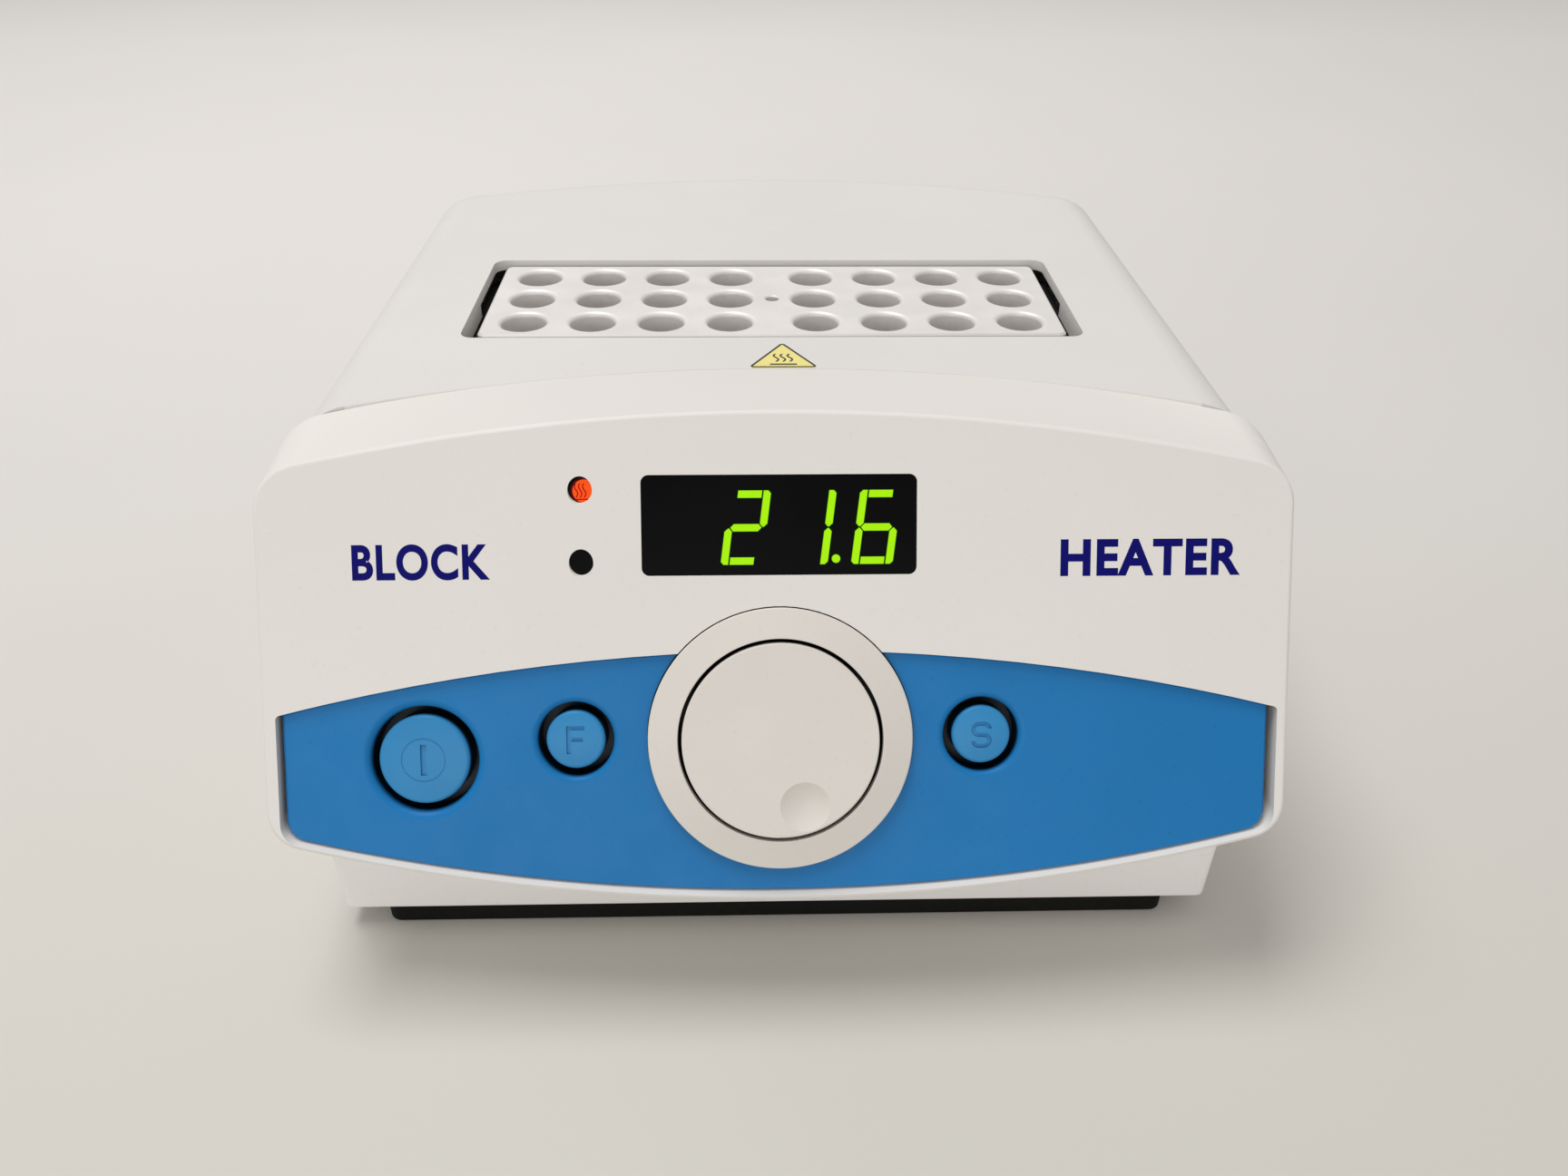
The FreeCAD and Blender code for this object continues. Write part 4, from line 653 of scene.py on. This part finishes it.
# The waves and the bar under them: heights are from the triangle's base, places across from its middle.
STEAM_AT = (-1.5 * MM, 0.0, 1.5 * MM)
STEAM_RISE, STEAM_TALL, STEAM_SWAY, STEAM_STROKE = 4.9 * MM, 3.7 * MM, 0.5 * MM, 0.42 * MM
PLATE_LEFT, PLATE_RIGHT, PLATE_RISE, PLATE_STROKE = -2.6 * MM, 2.7 * MM, 1.55 * MM, 0.65 * MM


def rounded_triangle(side, inset):
    """Outline with its base on the X axis and corners rounded like the label's, moved inwards."""
    tall = side * math.sqrt(3) / 2
    r = LABEL_CORNER
    across = side / 2 - r * math.sqrt(3)
    points = []
    for cx, cy, start in ((across, r, -90), (0, tall - 2 * r, 30), (-across, r, 150)):
        for k in range(CORNER_STEPS + 1):
            t = math.radians(start + CORNER_TURN / CORNER_STEPS * k)
            points.append((cx + (r - inset) * math.cos(t), cy + (r - inset) * math.sin(t)))
    return points


def label_artwork():
    """Three waves over a bar, and a border, on the yellow triangle."""
    low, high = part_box("hot_surface_label")
    matrix = Matrix.Translation(((low.x + high.x) / 2, low.y, high.z))
    side = high.x - low.x + 2 * (math.sqrt(3) - 1) * LABEL_CORNER
    finish = Finish("label_ink", srgb(52, 50, 42), 0.5).mottle(300, 0.1).gloss(200, 0.05).grain()
    marks = [steam(x, STEAM_RISE, STEAM_TALL, STEAM_SWAY, STEAM_STROKE) for x in STEAM_AT]
    marks.append(stroke([(PLATE_LEFT, PLATE_RISE), (PLATE_RIGHT, PLATE_RISE)], PLATE_STROKE))
    for i, mark in enumerate(marks):
        piece(f"label_mark_{i}", prism([mark], INK_THICK, matrix), finish.material)
    edges = [rounded_triangle(side, inset) for inset in (0.0, LABEL_BORDER)]
    piece("label_border", ring(*edges, INK_THICK, matrix), finish.material)


# ---------------------------------------------------------------- words on the face
# Height of a capital as a share of the font's size.
CAPITAL_SHARE = 0.73
WORD_THICK, LETTER_SPACING = 0.02 * MM, 1.1
# In millimetres: the left end, the right end, the foot, the height of the capitals, and the boldness.
WORDS = {
    "word_left": ("BLOCK", -81.5, -55.4, -9.8, 6.6, 0.3),
    "word_right": ("HEATER", 54.3, 89.4, -9.9, 6.9, 0.34),
}


def word(text, left, right, v, cap_height, bold):
    """Mesh of a generic word printed on the face between two places, its foot at v."""
    curve = bpy.data.curves.new(text, "FONT")
    curve.body = text
    curve.size = cap_height / CAPITAL_SHARE
    curve.extrude = WORD_THICK
    curve.offset = bold
    curve.space_character = LETTER_SPACING
    holder = bpy.data.objects.new(text, curve)
    mesh = bpy.data.meshes.new_from_object(holder)
    bpy.data.objects.remove(holder)
    xs = [vertex.co.x for vertex in mesh.vertices]
    share = (right - left) / (max(xs) - min(xs))
    fitted = Matrix.Diagonal((share, 1, 1, 1)) @ Matrix.Translation((-min(xs), 0, 0))
    mesh.transform(face_frame(left, v, 0.0) @ fitted)
    return mesh


def face_words():
    finish = Finish("word_ink", srgb(9, 9, 104), 0.55, specular=0.08)
    finish.mottle(200, 0.08).gloss(160, 0.05).grain()
    for name, (text, *sizes) in WORDS.items():
        piece(name, word(text, *(size * MM for size in sizes)), finish.material)


# ---------------------------------------------------------------- stage
BENCH_RADIUS, BENCH_STEPS = 4.0, 96
# The bench is darkest before the first place along Y, as painted shade, and lightest behind the last.
BENCH_NEAR, BENCH_MIDDLE, BENCH_FAR = -0.22, 0.25, 0.9
AIR = (1.0, 0.985, 0.965, 1.0)
AIR_STRENGTH = 0.48
LIT_POINT = (0, 0, 0.05)
SENSOR_WIDTH, FOCAL_LENGTH = 36.0, 27.76
CAMERA_PLACE = Vector((-5.08, -272.5, 216.2)) * MM
# Degrees: down, to the right, and round the line of sight.
CAMERA_PITCH, CAMERA_YAW, CAMERA_ROLL = 34.806, 1.77, 0.575


def floor():
    """Pale bench top, with painted shade that makes it a little darker towards the front."""
    finish = Finish("bench", srgb(210, 207, 203), 0.5, specular=0.3).gloss(8, 0.05)
    along = finish.node("ShaderNodeSeparateXYZ")
    finish.link(finish.place, along.inputs[0])
    middle = finish.ranged(along.outputs["Y"], 0.0, 1.0, BENCH_NEAR, BENCH_MIDDLE)
    far = finish.ranged(along.outputs["Y"], 0.0, 1.0, BENCH_MIDDLE, BENCH_FAR)
    drift = finish.ranged(finish.noise(3.0, 4.0), 0.0, 0.12)
    # Painted shade: the front of the bench takes darker tones than the rest.
    near = finish.mixed(drift, srgb(206, 203, 194), srgb(170, 168, 162))
    away = finish.mixed(drift, srgb(229, 225, 222), srgb(200, 197, 194))
    back = finish.mixed(far, away, srgb(252, 248, 244))
    finish.link(finish.mixed(middle, near, back), finish.shader.inputs["Base Color"])
    mesh = bpy.data.meshes.new("bench")
    bm = bmesh.new()
    bmesh.ops.create_circle(bm, cap_ends=True, segments=BENCH_STEPS, radius=BENCH_RADIUS)
    bm.to_mesh(mesh)
    bm.free()
    mesh.materials.append(finish.material)
    made = bpy.data.objects.new("bench", mesh)
    bpy.context.scene.collection.objects.link(made)


def area_light(name, place, size, power):
    """A white rectangle of light that faces the object."""
    light = bpy.data.lights.new(name, "AREA")
    light.shape = "RECTANGLE"
    light.size, light.size_y = size
    light.energy = power
    made = bpy.data.objects.new(name, light)
    made.location = place
    ahead = Vector(LIT_POINT) - Vector(place)
    made.rotation_euler = ahead.to_track_quat("-Z", "Y").to_euler()
    bpy.context.scene.collection.objects.link(made)


def lights():
    world = bpy.data.worlds.new("studio")
    world.use_nodes = True
    back = world.node_tree.nodes["Background"]
    back.inputs["Color"].default_value = AIR
    back.inputs["Strength"].default_value = AIR_STRENGTH
    bpy.context.scene.world = world
    area_light("ceiling", place=(-0.35, 0.1, 1.4), size=(0.8, 0.6), power=11.4)
    area_light("front", place=(-0.2, -1.5, 0.4), size=(1.2, 0.5), power=5.9)
    bpy.context.scene.view_settings.view_transform = "Standard"


def camera():
    """The photograph's view: pitched down, turned towards +X, and rolled a little."""
    data = bpy.data.cameras.new("camera")
    data.sensor_width = SENSOR_WIDTH
    data.lens = FOCAL_LENGTH
    pitch, yaw, roll = (math.radians(a) for a in (CAMERA_PITCH, CAMERA_YAW, CAMERA_ROLL))
    flat = math.cos(pitch)
    ahead = Vector((math.sin(yaw) * flat, math.cos(yaw) * flat, -math.sin(pitch)))
    level = Vector((math.cos(yaw), -math.sin(yaw), 0))
    upward = level.cross(ahead)
    right = level * math.cos(roll) + upward * math.sin(roll)
    top = upward * math.cos(roll) - level * math.sin(roll)
    turn = Matrix((right, top, -ahead)).transposed().to_4x4()
    made = bpy.data.objects.new("camera", data)
    made.matrix_world = Matrix.Translation(CAMERA_PLACE) @ turn
    bpy.context.scene.collection.objects.link(made)
    bpy.context.scene.camera = made


camera()
lights()
floor()
dress_nodes()
display_digits()
indicators()
label_artwork()
face_words()
joint_lip()
